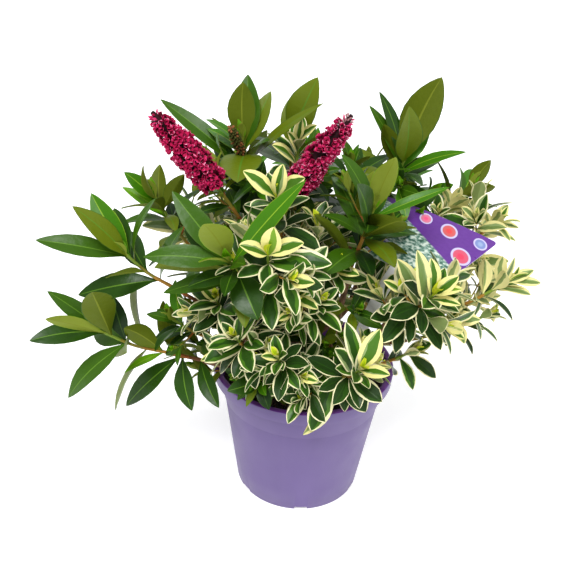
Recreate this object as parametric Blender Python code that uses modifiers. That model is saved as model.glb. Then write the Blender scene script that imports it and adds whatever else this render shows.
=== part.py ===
"""A hebe shrub in its purple nursery pot.

One clump from one root carries two kinds of leaf: long glossy green leaves and
shorter leaves with cream margins. Two crimson flower spikes stand at its top.
Metres, +Z up, origin at the middle of the pot's flat underside, front at -Y.
"""
import math
import random

import bmesh
import bpy
from mathutils import Matrix, Vector
from mathutils.bvhtree import BVHTree

# Pot, turned round the Z axis
POT_HEIGHT = 0.148
RIM_RADIUS = 0.095
RIM_BAND = 0.013
RIM_LIP = 0.0065
BODY_TOP_RADIUS = 0.0862
BASE_RADIUS = 0.0657
POT_WALL = 0.0018
POT_ROUND = 0.0008
STEP_DROP = 0.025
STEP_RISE = 0.0006
FOOT_ROUND = 0.0014
NOTCH_COUNT = 6
NOTCH_HEIGHT = 0.004
NOTCH_DEPTH = 0.004
NOTCH_WIDTH = 0.014
NOTCH_BEYOND = 0.003
NOTCH_TURN = math.radians(-85)
POT_SEGMENTS = 48

# Soil and clearances
SOIL_TOP = 0.126
SOIL_CLEAR = 0.002
GAP = 0.0003
LEAF_GAP = 0.0005

# Trunk: its top and lean, and its radius at shares of its height
TRUNK_TOP = 0.188
TRUNK_LEAN = 0.003
TRUNK_PROFILE = ((0.0, 0.0175), (0.05, 0.0145), (0.16, 0.0118), (0.4, 0.0105),
                 (0.75, 0.0098), (0.94, 0.0088), (1.0, 0.0060))

# Boughs and twigs
BOUGH_ROOT = 0.0036
BOUGH_TIP = 0.0024
STEM_ROOT = 0.0021
STEM_TIP = 0.0011
TWIG_ROOT = 0.0010
TWIG_TIP = 0.0006
ROOT_SHIFT = 0.0006
STRAIGHT = 0.002

# Line of sight that the layout is drawn on: a place is read across and down
# a square sheet, and its depth is the distance behind the pot's axis.
SHEET_MIDDLE = 292.0
SHEET_RANGE = 862.5
SIGHT_FROM = Vector((-0.0161, -0.7595, 0.6557))
SIGHT_TILT = math.radians(29.3)
SIGHT_ROLL = math.radians(3.16)

# Leaf kinds: width for each metre of length, widest leaf, stations as
# (share of length, share of width), gap from node to node along a stem, rise of
# the arch for each metre, and how far each pair from the tip down spreads
LEAF_KINDS = {
    "green": dict(width=0.37, broadest=0.0285, stations=((0.0, 0.05), (0.34, 0.95), (0.70, 0.82)),
                  node=0.0175, arch=0.07, spread=(20, 38, 54, 66, 74, 80)),
    "cream": dict(width=0.40, broadest=0.018, stations=((0.0, 0.07), (0.55, 1.0)),
                  node=0.0105, arch=0.08, spread=(12, 25, 40, 54, 66, 76)),
}

# Blade thickness for each metre of leaf and at least, size of each pair from the
# tip down, the leafy share of a stem, and degrees or share that a leaf strays
LEAF_THICK = 0.012
LEAF_THINNEST = 0.0006
TIP_SHARES = (0.42, 0.68, 0.88, 1.0)
LEAFY_SHARE = 0.86
LEAF_TURN = 12
LEAF_LEAN = 7
LEAF_SAG = 0.05

# Side shoots: where they sit on a stem, their reach and leaf length for each metre
# of the stem's leaf length, and their pairs. Then how near and how alike in
# heading a leaf is to a leading leaf when it gives way to it
SIDE_SHARES = (0.42, 0.76)
SIDE_REACH = 0.9
SIDE_LEAVES = 0.8
SIDE_PAIRS = 3
CROWD_NEAR = 0.020
CROWD_ALIKE = 0.80

# Boughs: height on the trunk, then the end's place across, down and behind
BOUGHS = {
    "bough_left_low": (0.146, (205, 361, -0.055)),
    "bough_left_middle": (0.1625, (200, 303, -0.060)),
    "bough_left_up": (0.178, (252, 236, -0.065)),
    "bough_top_left": (0.184, (262, 215, -0.005)),
    "bough_top_right": (0.178, (374, 224, 0.032)),
    "bough_right_up": (0.168, (425, 262, 0.020)),
    "bough_right_front": (0.16, (350, 270, -0.080)),
    "bough_right_low": (0.148, (388, 322, -0.085)),
    "bough_front": (0.17, (272, 300, -0.105)),
    "bough_front_left": (0.1555, (262, 352, -0.085)),
    "bough_front_right": (0.14, (331, 379, -0.100)),
    "bough_back_left": (0.150, (245, 232, 0.080)),
    "bough_back": (0.160, (318, 200, 0.085)),
    "bough_back_right": (0.150, (395, 236, 0.085)),
}

# Shoots: leaf kind, bough, share along the bough, the tip's place,
# leaf pairs, leaf length, turn of the first pair, side shoots
SHOOTS = {
    "leaves_left_low": ("green", "bough_left_low", 1.0, (104, 332, -0.080), 5, 0.066, 20, 0),
    "leaves_left_near": ("green", "bough_left_low", 0.80, (172, 318, -0.075), 4, 0.046, 60, 0),
    "leaves_left_middle": ("green", "bough_left_middle", 1.0, (127, 255, -0.090), 5, 0.066, 0, 0),
    "leaves_left_inner": ("cream", "bough_left_middle", 0.72, (216, 300, -0.100), 6, 0.036, 30, 1),
    "leaves_left_high": ("green", "bough_left_middle", 0.88, (156, 198, -0.035), 4, 0.056, 45, 0),
    "leaves_left_back": ("cream", "bough_left_up", 0.60, (190, 232, -0.010), 6, 0.040, 15, 1),
    "spike_left": ("green", "bough_left_up", 1.0, (214, 184, -0.090), 1, 0.045, 40, 0),
    "leaves_centre_left": ("green", "bough_left_up", 0.78, (230, 262, -0.135), 4, 0.060, 30, 0),
    "leaves_top_left": ("green", "bough_top_left", 1.0, (243, 142, -0.030), 5, 0.060, 75, 0),
    "leaves_top_middle": ("green", "bough_top_left", 0.80, (290, 138, -0.012), 4, 0.056, 20, 0),
    "leaves_top_back": ("cream", "bough_top_left", 0.62, (298, 141, -0.040), 5, 0.038, 50, 1),
    "leaves_top_right": ("green", "bough_top_right", 1.0, (404, 160, 0.000), 5, 0.064, 60, 0),
    "leaves_top_inner": ("green", "bough_top_right", 0.75, (352, 168, 0.010), 4, 0.056, 10, 0),
    "leaves_right_up": ("cream", "bough_right_up", 0.82, (452, 205, 0.020), 6, 0.040, 35, 1),
    "leaves_right_high": ("cream", "bough_right_up", 1.0, (497, 222, 0.000), 6, 0.040, 10, 1),
    "leaves_right_back": ("green", "bough_right_up", 0.62, (470, 188, 0.055), 4, 0.058, 80, 0),
    "leaves_right_middle": ("green", "bough_right_front", 1.0, (372, 212, -0.095), 5, 0.062, 25, 0),
    "leaves_centre_right": ("cream", "bough_right_front", 0.72, (318, 228, -0.085), 7, 0.040, 70, 1),
    "leaves_right_front": ("cream", "bough_right_low", 1.0, (433, 295, -0.135), 7, 0.040, 15, 1),
    "leaves_far_right": ("cream", "bough_right_low", 0.86, (508, 281, -0.065), 7, 0.043, 55, 1),
    "leaves_right_low": ("cream", "bough_right_low", 0.66, (488, 314, -0.062), 6, 0.029, 0, 1),
    "leaves_centre": ("cream", "bough_front", 1.0, (268, 255, -0.140), 7, 0.043, 80, 1),
    "leaves_upper_centre": ("cream", "bough_front", 0.66, (276, 197, -0.108), 6, 0.040, 40, 1),
    "spike_right": ("green", "bough_front", 0.50, (293, 191, -0.070), 1, 0.040, 70, 0),
    "leaves_middle": ("cream", "bough_front", 0.84, (320, 302, -0.128), 6, 0.032, 25, 1),
    "leaves_low_left": ("cream", "bough_front_left", 1.0, (236, 338, -0.125), 6, 0.038, 5, 2),
    "leaves_front_low": ("green", "bough_front_left", 0.80, (258, 382, -0.112), 4, 0.042, 50, 0),
    "leaves_low_middle": ("cream", "bough_front_right", 0.80, (278, 358, -0.142), 6, 0.032, 65, 1),
    "leaves_low_right": ("cream", "bough_front_right", 1.0, (360, 370, -0.145), 7, 0.038, 30, 1),
    "leaves_rim_right": ("cream", "bough_front_right", 0.62, (412, 351, -0.070), 5, 0.032, 15, 1),
    "leaves_back_left_low": ("cream", "bough_back_left", 0.78, (214, 238, 0.110), 6, 0.042, 40, 1),
    "leaves_back_left_high": ("green", "bough_back_left", 1.0, (240, 178, 0.080), 5, 0.060, 15, 0),
    "leaves_back_low": ("cream", "bough_back", 0.55, (265, 225, 0.155), 6, 0.042, 0, 1),
    "leaves_back_low_right": ("cream", "bough_back", 0.72, (352, 222, 0.160), 6, 0.042, 65, 1),
    "leaves_back_high": ("green", "bough_back", 1.0, (316, 150, 0.100), 5, 0.060, 60, 0),
    "leaves_back_right_low": ("cream", "bough_back_right", 0.78, (428, 248, 0.110), 6, 0.042, 25, 1),
    "leaves_back_right_high": ("green", "bough_back_right", 1.0, (405, 182, 0.085), 5, 0.060, 70, 0),
}

# Leading leaves that shape the outline: share along the stem, the tip's place,
# how far the upper face is turned to the front, or below zero the underside,
# and the blade's width as a share of its kind's
LEADERS = {
    "leaves_left_low": (
        (1.00, (29, 341, -0.105), 0.6, 0.9), (0.98, (47, 291, -0.085), 0.7, 0.7),
        (0.97, (45, 319, -0.125), -0.4, 0.55), (0.93, (92, 292, -0.120), -1.0, 1.1),
        (0.76, (68, 398, -0.080), 0.9, 0.8), (0.78, (112, 295, -0.060), 1.0, 1.1),
        (0.42, (124, 328, -0.105), -0.6, 0.8), (0.40, (124, 373, -0.095), 0.6, 0.55),
        (0.24, (126, 406, -0.060), 0.9, 0.75), (0.22, (192, 411, -0.085), 1.0, 1.0),
        (0.23, (163, 300, -0.030), -0.6, 1.1), (0.04, (219, 408, -0.095), 0.9, 0.9),
    ),
    "leaves_left_middle": (
        (0.98, (35, 240, -0.100), 0.6, 0.7), (0.98, (72, 206, -0.110), 0.6, 0.75),
        (0.95, (91, 193, -0.065), 0.8, 0.9), (0.95, (114, 208, -0.050), 1.0, 0.9),
        (0.72, (105, 278, -0.125), -0.5, 0.7), (0.90, (156, 198, -0.120), 0.5, 0.4),
        (0.55, (78, 295, -0.080), 0.6, 0.9),
    ),
    "leaves_left_back": (
        (1.00, (142, 226, -0.030), 0.7, 1.1), (0.95, (158, 249, -0.020), 0.7, 1.0),
    ),
    "leaves_left_high": (
        (0.98, (124, 172, -0.040), 1.0, 1.0), (0.98, (143, 165, -0.060), 0.5, 0.6),
        (0.95, (160, 164, -0.010), -1.0, 1.1), (0.80, (122, 187, -0.020), 0.4, 0.6),
        (0.85, (176, 232, -0.070), -0.5, 0.9), (0.90, (184, 174, -0.030), -1.0, 1.1),
    ),
    "leaves_centre_left": (
        (0.95, (143, 257, -0.135), 0.7, 0.75), (0.95, (172, 191, -0.110), 0.7, 0.75),
        (1.00, (204, 224, -0.165), -1.0, 1.2), (0.98, (198, 262, -0.170), -0.4, 0.4),
        (0.95, (306, 180, -0.135), 0.7, 0.6), (0.78, (258, 320, -0.155), 1.0, 1.6),
        (0.62, (163, 293, -0.120), 0.5, 0.65), (0.80, (154, 268, -0.100), -0.8, 1.0),
    ),
    "leaves_top_left": (
        (0.96, (243, 82, -0.035), -1.0, 1.15), (0.90, (248, 74, -0.005), 1.0, 1.0),
        (0.90, (271, 91, -0.010), 0.6, 0.9), (0.86, (236, 188, -0.105), 1.0, 1.5),
        (0.62, (160, 99, 0.010), 0.5, 0.6), (0.72, (211, 117, 0.015), -0.6, 0.6),
        (0.72, (324, 103, -0.060), 0.3, 0.5),
    ),
    "leaves_top_middle": (
        (0.98, (318, 77, -0.020), 1.0, 1.2), (0.92, (290, 98, 0.010), 0.8, 0.9),
        (0.80, (352, 128, 0.000), -0.6, 0.7),
    ),
    "leaves_top_back": (
        (1.00, (317, 125, -0.050), 0.8, 0.9), (1.00, (302, 119, -0.050), 0.8, 0.9),
        (0.92, (286, 128, -0.055), 0.8, 0.9), (0.85, (272, 145, -0.060), 0.8, 0.9),
    ),
    "leaves_top_inner": (
        (0.95, (298, 199, -0.030), 0.5, 0.6),
    ),
    "leaves_top_right": (
        (0.97, (442, 77, -0.010), -1.0, 1.2), (0.97, (409, 106, -0.030), 1.0, 1.0),
        (0.92, (379, 91, 0.015), 0.5, 0.5), (0.88, (369, 105, 0.015), 0.5, 0.5),
        (0.80, (467, 152, -0.015), 0.5, 0.5), (0.84, (384, 124, -0.005), -0.9, 0.9),
    ),
    "leaves_right_middle": (
        (0.97, (396, 157, -0.115), -0.9, 0.85), (0.97, (341, 154, -0.100), 0.5, 0.75),
        (0.60, (357, 184, -0.135), 0.8, 1.1), (0.60, (402, 220, -0.145), -1.0, 1.1),
        (0.90, (450, 187, -0.085), 0.5, 0.4), (0.12, (314, 214, -0.125), -0.5, 0.5),
    ),
    "leaves_right_back": (
        (0.98, (491, 160, 0.055), -1.0, 1.15), (0.85, (498, 207, 0.050), 0.5, 0.4),
    ),
    "leaves_centre": (
        (1.00, (239, 245, -0.160), 0.8, 1.0), (1.00, (304, 243, -0.155), 0.8, 1.0),
        (0.98, (274, 227, -0.150), 1.0, 1.3), (0.90, (332, 264, -0.145), 0.8, 1.0),
        (0.84, (264, 287, -0.165), 0.5, 1.0), (0.86, (312, 266, -0.160), 0.6, 1.0),
    ),
    "leaves_upper_centre": (
        (1.00, (243, 171, -0.120), 0.9, 1.0), (1.00, (283, 164, -0.115), 0.8, 1.0),
        (0.98, (305, 178, -0.125), 0.8, 1.0),
    ),
    "leaves_right_front": (
        (0.82, (417, 250, -0.150), 0.9, 0.9), (0.95, (431, 258, -0.140), 0.6, 0.8),
        (1.00, (459, 276, -0.145), 0.8, 1.0), (1.00, (463, 289, -0.150), 0.7, 0.8),
        (0.90, (461, 305, -0.150), 0.7, 0.7), (0.66, (397, 259, -0.130), 0.9, 0.9),
    ),
    "leaves_low_right": (
        (1.00, (380, 329, -0.150), 0.9, 1.0), (1.00, (390, 375, -0.165), 0.8, 1.0),
        (0.90, (346, 322, -0.125), 0.8, 0.8), (0.04, (311, 431, -0.130), 0.9, 1.2),
        (0.30, (366, 412, -0.130), 0.8, 1.3), (0.62, (382, 402, -0.150), 0.8, 1.2),
        (0.10, (303, 435, -0.125), -0.5, 1.0),
    ),
    "leaves_front_low": (
        (0.75, (227, 391, -0.120), 0.8, 1.3), (0.98, (269, 410, -0.128), 0.9, 1.3),
        (0.85, (246, 407, -0.118), 0.3, 0.7),
    ),
    "leaves_far_right": (
        (1.00, (541, 283, -0.065), 0.5, 0.9), (0.97, (534, 270, -0.060), 0.5, 0.9),
        (0.90, (531, 295, -0.085), 0.4, 0.9), (0.92, (503, 256, -0.060), -0.8, 1.0),
        (0.80, (485, 259, -0.060), -0.8, 1.0),
    ),
    "leaves_right_high": (
        (0.97, (519, 228, 0.000), 0.4, 0.9), (0.97, (501, 208, 0.005), -0.7, 1.0),
        (0.95, (510, 241, -0.015), 0.5, 0.9), (0.90, (484, 211, 0.000), -0.8, 1.0),
    ),
    "leaves_right_up": (
        (0.98, (461, 187, 0.015), -0.8, 1.0), (0.98, (443, 187, 0.020), -0.8, 1.0),
        (0.90, (469, 199, 0.000), -0.8, 1.0),
    ),
    "leaves_rim_right": (
        (0.85, (413, 390, -0.085), 0.7, 1.0), (0.95, (436, 378, -0.080), 0.7, 1.1),
    ),
}

# Flower spikes: the tip's place, and the radius at shares of the length
SPIKES = {
    "spike_left": (152, 112, -0.100),
    "spike_right": (352, 115, -0.065),
}
SPIKE_PROFILE = ((0.0, 0.0110), (0.10, 0.0155), (0.45, 0.0150), (0.80, 0.0105), (1.0, 0.0040))
SPIKE_SIDES = 9
SPIKE_SEAT = 0.002

# Spent flower head on the upper left shoot, as (share of its length, radius)
SPENT_SHARE = 0.66
SPENT_TIP = (231, 128, -0.055)
SPENT_RADIUS = 0.0060
SPENT_PROFILE = ((0.0, 0.0009), (0.3, 0.0009), (0.5, SPENT_RADIUS), (0.9, SPENT_RADIUS), (1.0, 0.003))

# Plant label: card lying on the shoots with a bent foot pushed into the soil
CARD_LEFT = (386, 195, 0.005)
CARD_RIGHT = (498, 242, -0.065)
CARD_SLOPE = Vector((-0.534, -0.746, -0.398))
CARD_FOOT_SHARE = 0.72
CARD_LONG = 0.072
CARD_THICK = 0.0008
STAKE_WIDE = 0.014
STAKE_TAPER = 0.55
STAKE_END = Vector((0.034, -0.036, 0.106))

SEED = 41


def place(across, down, behind):
    """The point seen at this place of the sheet, so far behind the pot's axis."""
    back = Vector((0.0, -math.cos(SIGHT_TILT), math.sin(SIGHT_TILT)))
    up = Vector((0.0, math.sin(SIGHT_TILT), math.cos(SIGHT_TILT)))
    right = Vector((math.cos(SIGHT_ROLL), 0.0, 0.0)) + up * math.sin(SIGHT_ROLL)
    top = up * math.cos(SIGHT_ROLL) - Vector((math.sin(SIGHT_ROLL), 0.0, 0.0))
    ray = right * (across - SHEET_MIDDLE) / SHEET_RANGE - top * (down - SHEET_MIDDLE) / SHEET_RANGE - back
    return SIGHT_FROM + ray * ((behind - SIGHT_FROM.y) / ray.y)


def bend(start, heading, tip, settle, count=7):
    """Points on a smooth limb, straight for a little at both ends."""
    lead = start + heading * STRAIGHT
    close = tip - settle * STRAIGHT
    reach = (close - lead).length
    first = lead + heading * reach * 0.38
    last = close - settle * reach * 0.30
    points = [start]
    for i in range(count - 2):
        t = i / (count - 3)
        s = 1.0 - t
        points.append(lead * s ** 3 + first * 3 * s * s * t + last * 3 * s * t * t + close * t ** 3)
    return points + [tip]


def along(points, share):
    """Point and heading at a share of a limb's length."""
    lengths = [(b - a).length for a, b in zip(points, points[1:])]
    left = share * sum(lengths)
    for a, b, length in zip(points, points[1:], lengths):
        if left <= length or b is points[-1]:
            return a + (b - a) * (left / length), (b - a).normalized()
        left -= length


def square_to(heading, wish):
    """The unit vector square to heading that lies nearest to wish."""
    side = wish - heading * wish.dot(heading)
    if side.length < 1e-4:
        side = heading.orthogonal()
    return side.normalized()


def tube(points, radii, sides):
    """Vertices and faces of a closed tapering tube with flat ends."""
    vertices = []
    faces = []
    side = square_to((points[1] - points[0]).normalized(), Vector((0.31, 0.17, 0.94)))
    for i, (point, radius) in enumerate(zip(points, radii)):
        before = points[max(i - 1, 0)]
        after = points[min(i + 1, len(points) - 1)]
        heading = (after - before).normalized()
        side = square_to(heading, side)
        other = heading.cross(side)
        for j in range(sides):
            turn = 2 * math.pi * j / sides
            vertices.append(point + (side * math.cos(turn) + other * math.sin(turn)) * radius)
    for i in range(len(points) - 1):
        for j in range(sides):
            k = (j + 1) % sides
            faces.append((i * sides + j, i * sides + k, (i + 1) * sides + k, (i + 1) * sides + j))
    faces.append(tuple(reversed(range(sides))))
    faces.append(tuple(range((len(points) - 1) * sides, len(points) * sides)))
    return vertices, faces


def taper(root, tip, count):
    return [root + (tip - root) * i / (count - 1) for i in range(count)]


def leaf_frame(leaf):
    """Unit vectors of a leaf: along it, across it, and out of its upper face."""
    ahead = (leaf["tip"] - leaf["base"]).normalized()
    up = square_to(ahead, leaf["face"])
    return ahead, ahead.cross(up), up


def leaf_solid(leaf, extra=0.0):
    """A slim keeled blade: rings of left edge, right edge and keel, then the tip.

    With extra, the rings gain a ridge and grow by it, for the clearance test.
    """
    kind = LEAF_KINDS[leaf["kind"]]
    ahead, across, up = leaf_frame(leaf)
    length = (leaf["tip"] - leaf["base"]).length
    width = min(kind["width"] * length, kind["broadest"]) * leaf.get("wide", 1.0)
    keel = max(LEAF_THICK * length, LEAF_THINNEST)
    vertices = []
    for share, broad in kind["stations"]:
        middle = leaf["base"] + ahead * length * share
        middle += up * kind["arch"] * length * 4 * share * (1 - share)
        half = across * (width * broad / 2 + extra)
        ring = [middle - half, middle + half, middle - up * (keel + extra)]
        if extra:
            ring.insert(1, middle + up * extra)
        vertices += ring
    sides = 4 if extra else 3
    rings = len(kind["stations"])
    vertices.append(leaf["tip"] + ahead * extra)
    tip = len(vertices) - 1
    faces = [tuple(range(sides))]
    for i in range(rings - 1):
        for j in range(sides):
            k = (j + 1) % sides
            faces.append((i * sides + k, i * sides + j, (i + 1) * sides + j, (i + 1) * sides + k))
    for j in range(sides):
        faces.append(((rings - 1) * sides + (j + 1) % sides, (rings - 1) * sides + j, tip))
    return vertices, faces


class Room:
    """The space already taken, so that each shoot keeps to its own."""

    def __init__(self):
        self.taken = []

    def add(self, owner, vertices, faces):
        low = [min(v[i] for v in vertices) for i in range(3)]
        high = [max(v[i] for v in vertices) for i in range(3)]
        tree = BVHTree.FromPolygons(vertices, faces)
        self.taken.append((owner, low, high, tree))

    def is_free(self, owner, vertices, faces):
        low = [min(v[i] for v in vertices) for i in range(3)]
        high = [max(v[i] for v in vertices) for i in range(3)]
        tree = None
        for other, floor, roof, solid in self.taken:
            if other == owner:
                continue
            if any(low[i] > roof[i] or high[i] < floor[i] for i in range(3)):
                continue
            if tree is None:
                tree = BVHTree.FromPolygons(vertices, faces)
            if tree.overlap(solid):
                return False
        return True


def in_pot(vertices):
    """True where a point is under the rim's level inside the pot and too low."""
    for v in vertices:
        if math.hypot(v.x, v.y) < RIM_RADIUS and v.z < SOIL_TOP + SOIL_CLEAR:
            return True
    return False


def pot_profile():
    """The pot's section as (radius, height), down its outer side and up inside."""
    body_top = BODY_TOP_RADIUS
    under_rim = POT_HEIGHT - RIM_BAND
    step = under_rim - STEP_DROP
    slope = (body_top - BASE_RADIUS) / under_rim
    step_radius = BASE_RADIUS + slope * step
    return [
        (RIM_RADIUS - POT_ROUND, POT_HEIGHT),
        (RIM_RADIUS, POT_HEIGHT - POT_ROUND),
        (RIM_RADIUS - POT_ROUND, under_rim),
        (body_top, under_rim),
        (step_radius + STEP_RISE, step),
        (step_radius, step - STEP_RISE),
        (BASE_RADIUS + FOOT_ROUND, FOOT_ROUND),
        (BASE_RADIUS, 0.0),
        (0.0, 0.0),
        (0.0, POT_WALL),
        (BASE_RADIUS - POT_WALL, POT_WALL),
        (body_top - POT_WALL, under_rim),
        (RIM_RADIUS - RIM_LIP, POT_HEIGHT - POT_ROUND),
        (RIM_RADIUS - RIM_LIP + POT_ROUND, POT_HEIGHT),
    ]


def soil_radius(height):
    """The soil's radius at a height, a gap inside the pot's wall."""
    share = (height - POT_WALL) / (POT_HEIGHT - RIM_BAND - POT_WALL)
    inner = BASE_RADIUS - POT_WALL + (BODY_TOP_RADIUS - BASE_RADIUS) * share
    return inner - 2 * GAP


def card_frame():
    """The card's head middle, its directions across and down, and its width."""
    left = place(*CARD_LEFT)
    right = place(*CARD_RIGHT)
    across = (right - left).normalized()
    return (left + right) / 2, across, square_to(across, CARD_SLOPE), (right - left).length


def strip(points, across, widths, thick):
    """Vertices and faces of a flat strip along points, square ended."""
    vertices = []
    faces = []
    for i, (point, width) in enumerate(zip(points, widths)):
        heading = (points[min(i + 1, len(points) - 1)] - points[max(i - 1, 0)]).normalized()
        side = square_to(heading, across)
        up = heading.cross(side)
        for a, b in ((-1, -1), (1, -1), (1, 1), (-1, 1)):
            vertices.append(point + side * a * width / 2 + up * b * thick / 2)
    for i in range(len(points) - 1):
        for j in range(4):
            k = (j + 1) % 4
            faces.append((i * 4 + j, i * 4 + k, i * 4 + 4 + k, i * 4 + 4 + j))
    faces.append((3, 2, 1, 0))
    last = 4 * len(points) - 4
    faces.append((last, last + 1, last + 2, last + 3))
    return vertices, faces


def label_line():
    """Points and widths of the whole label, from its head to its buried end."""
    head, across, down, wide = card_frame()
    foot = head + down * CARD_LONG
    points = [head, foot]
    widths = [wide, wide * CARD_FOOT_SHARE]
    line = bend(foot, down * 0.3, STAKE_END, Vector((0.0, 0.12, -1.0)).normalized(), 9)[1:]
    for i, point in enumerate(line):
        points.append(point)
        widths.append(STAKE_WIDE * (1.0 - STAKE_TAPER * (i + 1) / len(line)))
    return points, widths


def trunk_line():
    """Points and radii of the trunk, flared at its flat foot."""
    foot = SOIL_TOP + GAP
    points = []
    radii = []
    for rise, radius in TRUNK_PROFILE:
        height = foot + (TRUNK_TOP - foot) * rise
        lean = TRUNK_LEAN * max(0.0, rise - 0.05)
        points.append(Vector((lean, 0.5 * lean, height)))
        radii.append(radius)
    return points, radii


def trunk_at(height):
    """The trunk's middle and radius at a height."""
    points, radii = trunk_line()
    for i in range(len(points) - 1):
        if points[i + 1].z >= height:
            share = (height - points[i].z) / (points[i + 1].z - points[i].z)
            radius = radii[i] + (radii[i + 1] - radii[i]) * share
            return points[i].lerp(points[i + 1], share), radius


def bough_line(name):
    """Points and radii of a bough, from beside the trunk to its end."""
    height, end_place = BOUGHS[name]
    end = place(*end_place)
    middle, radius = trunk_at(height)
    out = Vector((end.x - middle.x, end.y - middle.y, 0.0)).normalized()
    start = middle + out * (radius + 1.5 * GAP)
    tip = place(*first_shoot(name)[3])
    points = bend(start, out, end, (tip - end).normalized(), 6)
    return points, taper(BOUGH_ROOT, BOUGH_TIP, len(points))


def first_shoot(bough):
    """The shoot that grows on from the bough's end."""
    for shoot in SHOOTS.values():
        if shoot[1] == bough and shoot[2] == 1.0:
            return shoot


def stem_line(name, boughs):
    """Points and radii of a shoot's stem, from beside its bough to its tip."""
    _, bough, share, tip_place = SHOOTS[name][:4]
    points, radii = boughs[bough]
    tip = place(*tip_place)
    start, heading = along(points, share)
    if share == 1.0:
        start = points[-1] + heading * GAP
    else:
        radius = radii[0] + (radii[-1] - radii[0]) * share
        wish = (tip - start).normalized() + Vector((0.0, 0.0, 0.25))
        heading = square_to(heading, wish)
        start = start + heading * (radius + GAP)
    if name in SPIKES:
        settle = (place(*SPIKES[name]) - tip).normalized()
    else:
        settle = ((tip - start).normalized() + Vector((0.0, 0.0, 0.45))).normalized()
    line = bend(start, heading, tip, settle, 6)
    return line, taper(STEM_ROOT, STEM_TIP, len(line))


def make_leaf(kind, base, heading, out, spread, length, rank, sag=0.0):
    """A leaf that leaves its stem at a spread angle, upper face to the stem's tip."""
    ahead = heading * math.cos(spread) + out * math.sin(spread)
    ahead = (ahead + Vector((0.0, 0.0, -sag))).normalized()
    face = square_to(ahead, heading + Vector((0.0, 0.0, 0.15)))
    return dict(kind=kind, base=base, tip=base + ahead * length, face=face, rank=rank)


def leaf_pairs(rng, kind, line, pairs, length, turn):
    """Opposite pairs from a shoot's tip down, each turned a quarter from the last."""
    total = sum((b - a).length for a, b in zip(line, line[1:]))
    node = LEAF_KINDS[kind]["node"]
    angles = LEAF_KINDS[kind]["spread"]
    leaves = []
    down = 0.001
    for pair in range(pairs):
        if down > total * LEAFY_SHARE:
            break
        base, heading = along(line, 1.0 - down / total)
        side = square_to(heading, Vector((0.93, 0.21, 0.31)))
        angle = math.radians(turn + 90 * pair + rng.uniform(-LEAF_TURN, LEAF_TURN))
        out = Matrix.Rotation(angle, 3, heading) @ side
        share = TIP_SHARES[min(pair, len(TIP_SHARES) - 1)]
        spread = angles[min(pair, len(angles) - 1)]
        for sign in (1, -1):
            size = length * share * rng.uniform(0.88, 1.10)
            lean = math.radians(spread + rng.uniform(-LEAF_LEAN, LEAF_LEAN))
            sag = LEAF_SAG * pair * rng.uniform(0.4, 1.0)
            root = base + out * sign * ROOT_SHIFT
            leaves.append(make_leaf(kind, root, heading, out * sign, lean, size, pair, sag))
        down += node * min(1.0, 0.30 + 0.2 * pair) * rng.uniform(0.85, 1.15)
    return leaves


def side_twigs(rng, kind, line, count, length):
    """Side shoots from a stem's upper half, each with its own few pairs."""
    twigs = []
    for i in range(count):
        low, high = SIDE_SHARES
        share = low + (high - low) * (i + rng.uniform(0.1, 0.9)) / count
        base, heading = along(line, share)
        side = square_to(heading, Vector((rng.uniform(-1, 1), rng.uniform(-1, 1), rng.uniform(-0.2, 0.8))))
        ahead = (heading * 0.62 + side * 0.78).normalized()
        reach = length * rng.uniform(0.75, 1.0)
        settle = (ahead + Vector((0.0, 0.0, 0.4))).normalized()
        twigs.append((bend(base, ahead, base + ahead * reach, settle, 4), rng.uniform(0, 90)))
    return twigs


def leading_leaves(name, kind, line):
    """The leaves that shape the outline, each aimed at its own tip."""
    leaves = []
    sight = Vector((0.0, -math.cos(SIGHT_TILT), math.sin(SIGHT_TILT)))
    for share, tip_place, seen, wide in LEADERS.get(name, ()):
        base, heading = along(line, share)
        tip = place(*tip_place)
        root = base + square_to(heading, tip - base) * ROOT_SHIFT
        wish = heading * 0.4 + Vector((0.0, 0.0, 0.2)) + sight * 0.9 * seen
        face = square_to((tip - root).normalized(), wish)
        leaves.append(dict(kind=kind, base=root, tip=tip, face=face, rank=3, wide=wide))
    return leaves


def crowded(leaf, others):
    """True where a leaf would lie on a leading leaf of its own shoot."""
    ahead = (leaf["tip"] - leaf["base"]).normalized()
    for other in others:
        way = (other["tip"] - other["base"]).normalized()
        near = (leaf["base"] - other["base"]).length < CROWD_NEAR
        if near and ahead.dot(way) > CROWD_ALIKE:
            return True
    return False


def spike_rings(name, stem):
    """Middle line and radii of a flower spike."""
    base = stem[-1] - (stem[-1] - stem[-2]).normalized() * SPIKE_SEAT
    tip = place(*SPIKES[name])
    points = []
    radii = []
    for share, radius in SPIKE_PROFILE:
        points.append(base.lerp(tip, share))
        radii.append(radius)
    return points, radii


def fixed_solids(room, boughs):
    """Enter the pot, soil, label, trunk and boughs in the room."""
    ring = POT_SEGMENTS
    section = pot_profile()
    vertices = []
    faces = []
    for radius, height in section:
        for j in range(ring):
            turn = 2 * math.pi * j / ring
            vertices.append(Vector((radius * math.cos(turn), radius * math.sin(turn), height)))
    for i in range(len(section)):
        for j in range(ring):
            k = (j + 1) % ring
            n = (i + 1) % len(section)
            faces.append((i * ring + j, i * ring + k, n * ring + k, n * ring + j))
    room.add("pot", vertices, faces)
    floor = POT_WALL + GAP
    plug = [Vector((0.0, 0.0, floor)), Vector((0.0, 0.0, SOIL_TOP))]
    room.add("soil", *tube(plug, [soil_radius(floor), soil_radius(SOIL_TOP)], ring))
    points, widths = label_line()
    room.add("plant_label", *strip(points, card_frame()[1], widths, CARD_THICK))
    points, radii = trunk_line()
    room.add("trunk", *tube(points, radii, 12))
    for name, (points, radii) in boughs.items():
        room.add(name, *tube(points, radii, 8))


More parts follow.
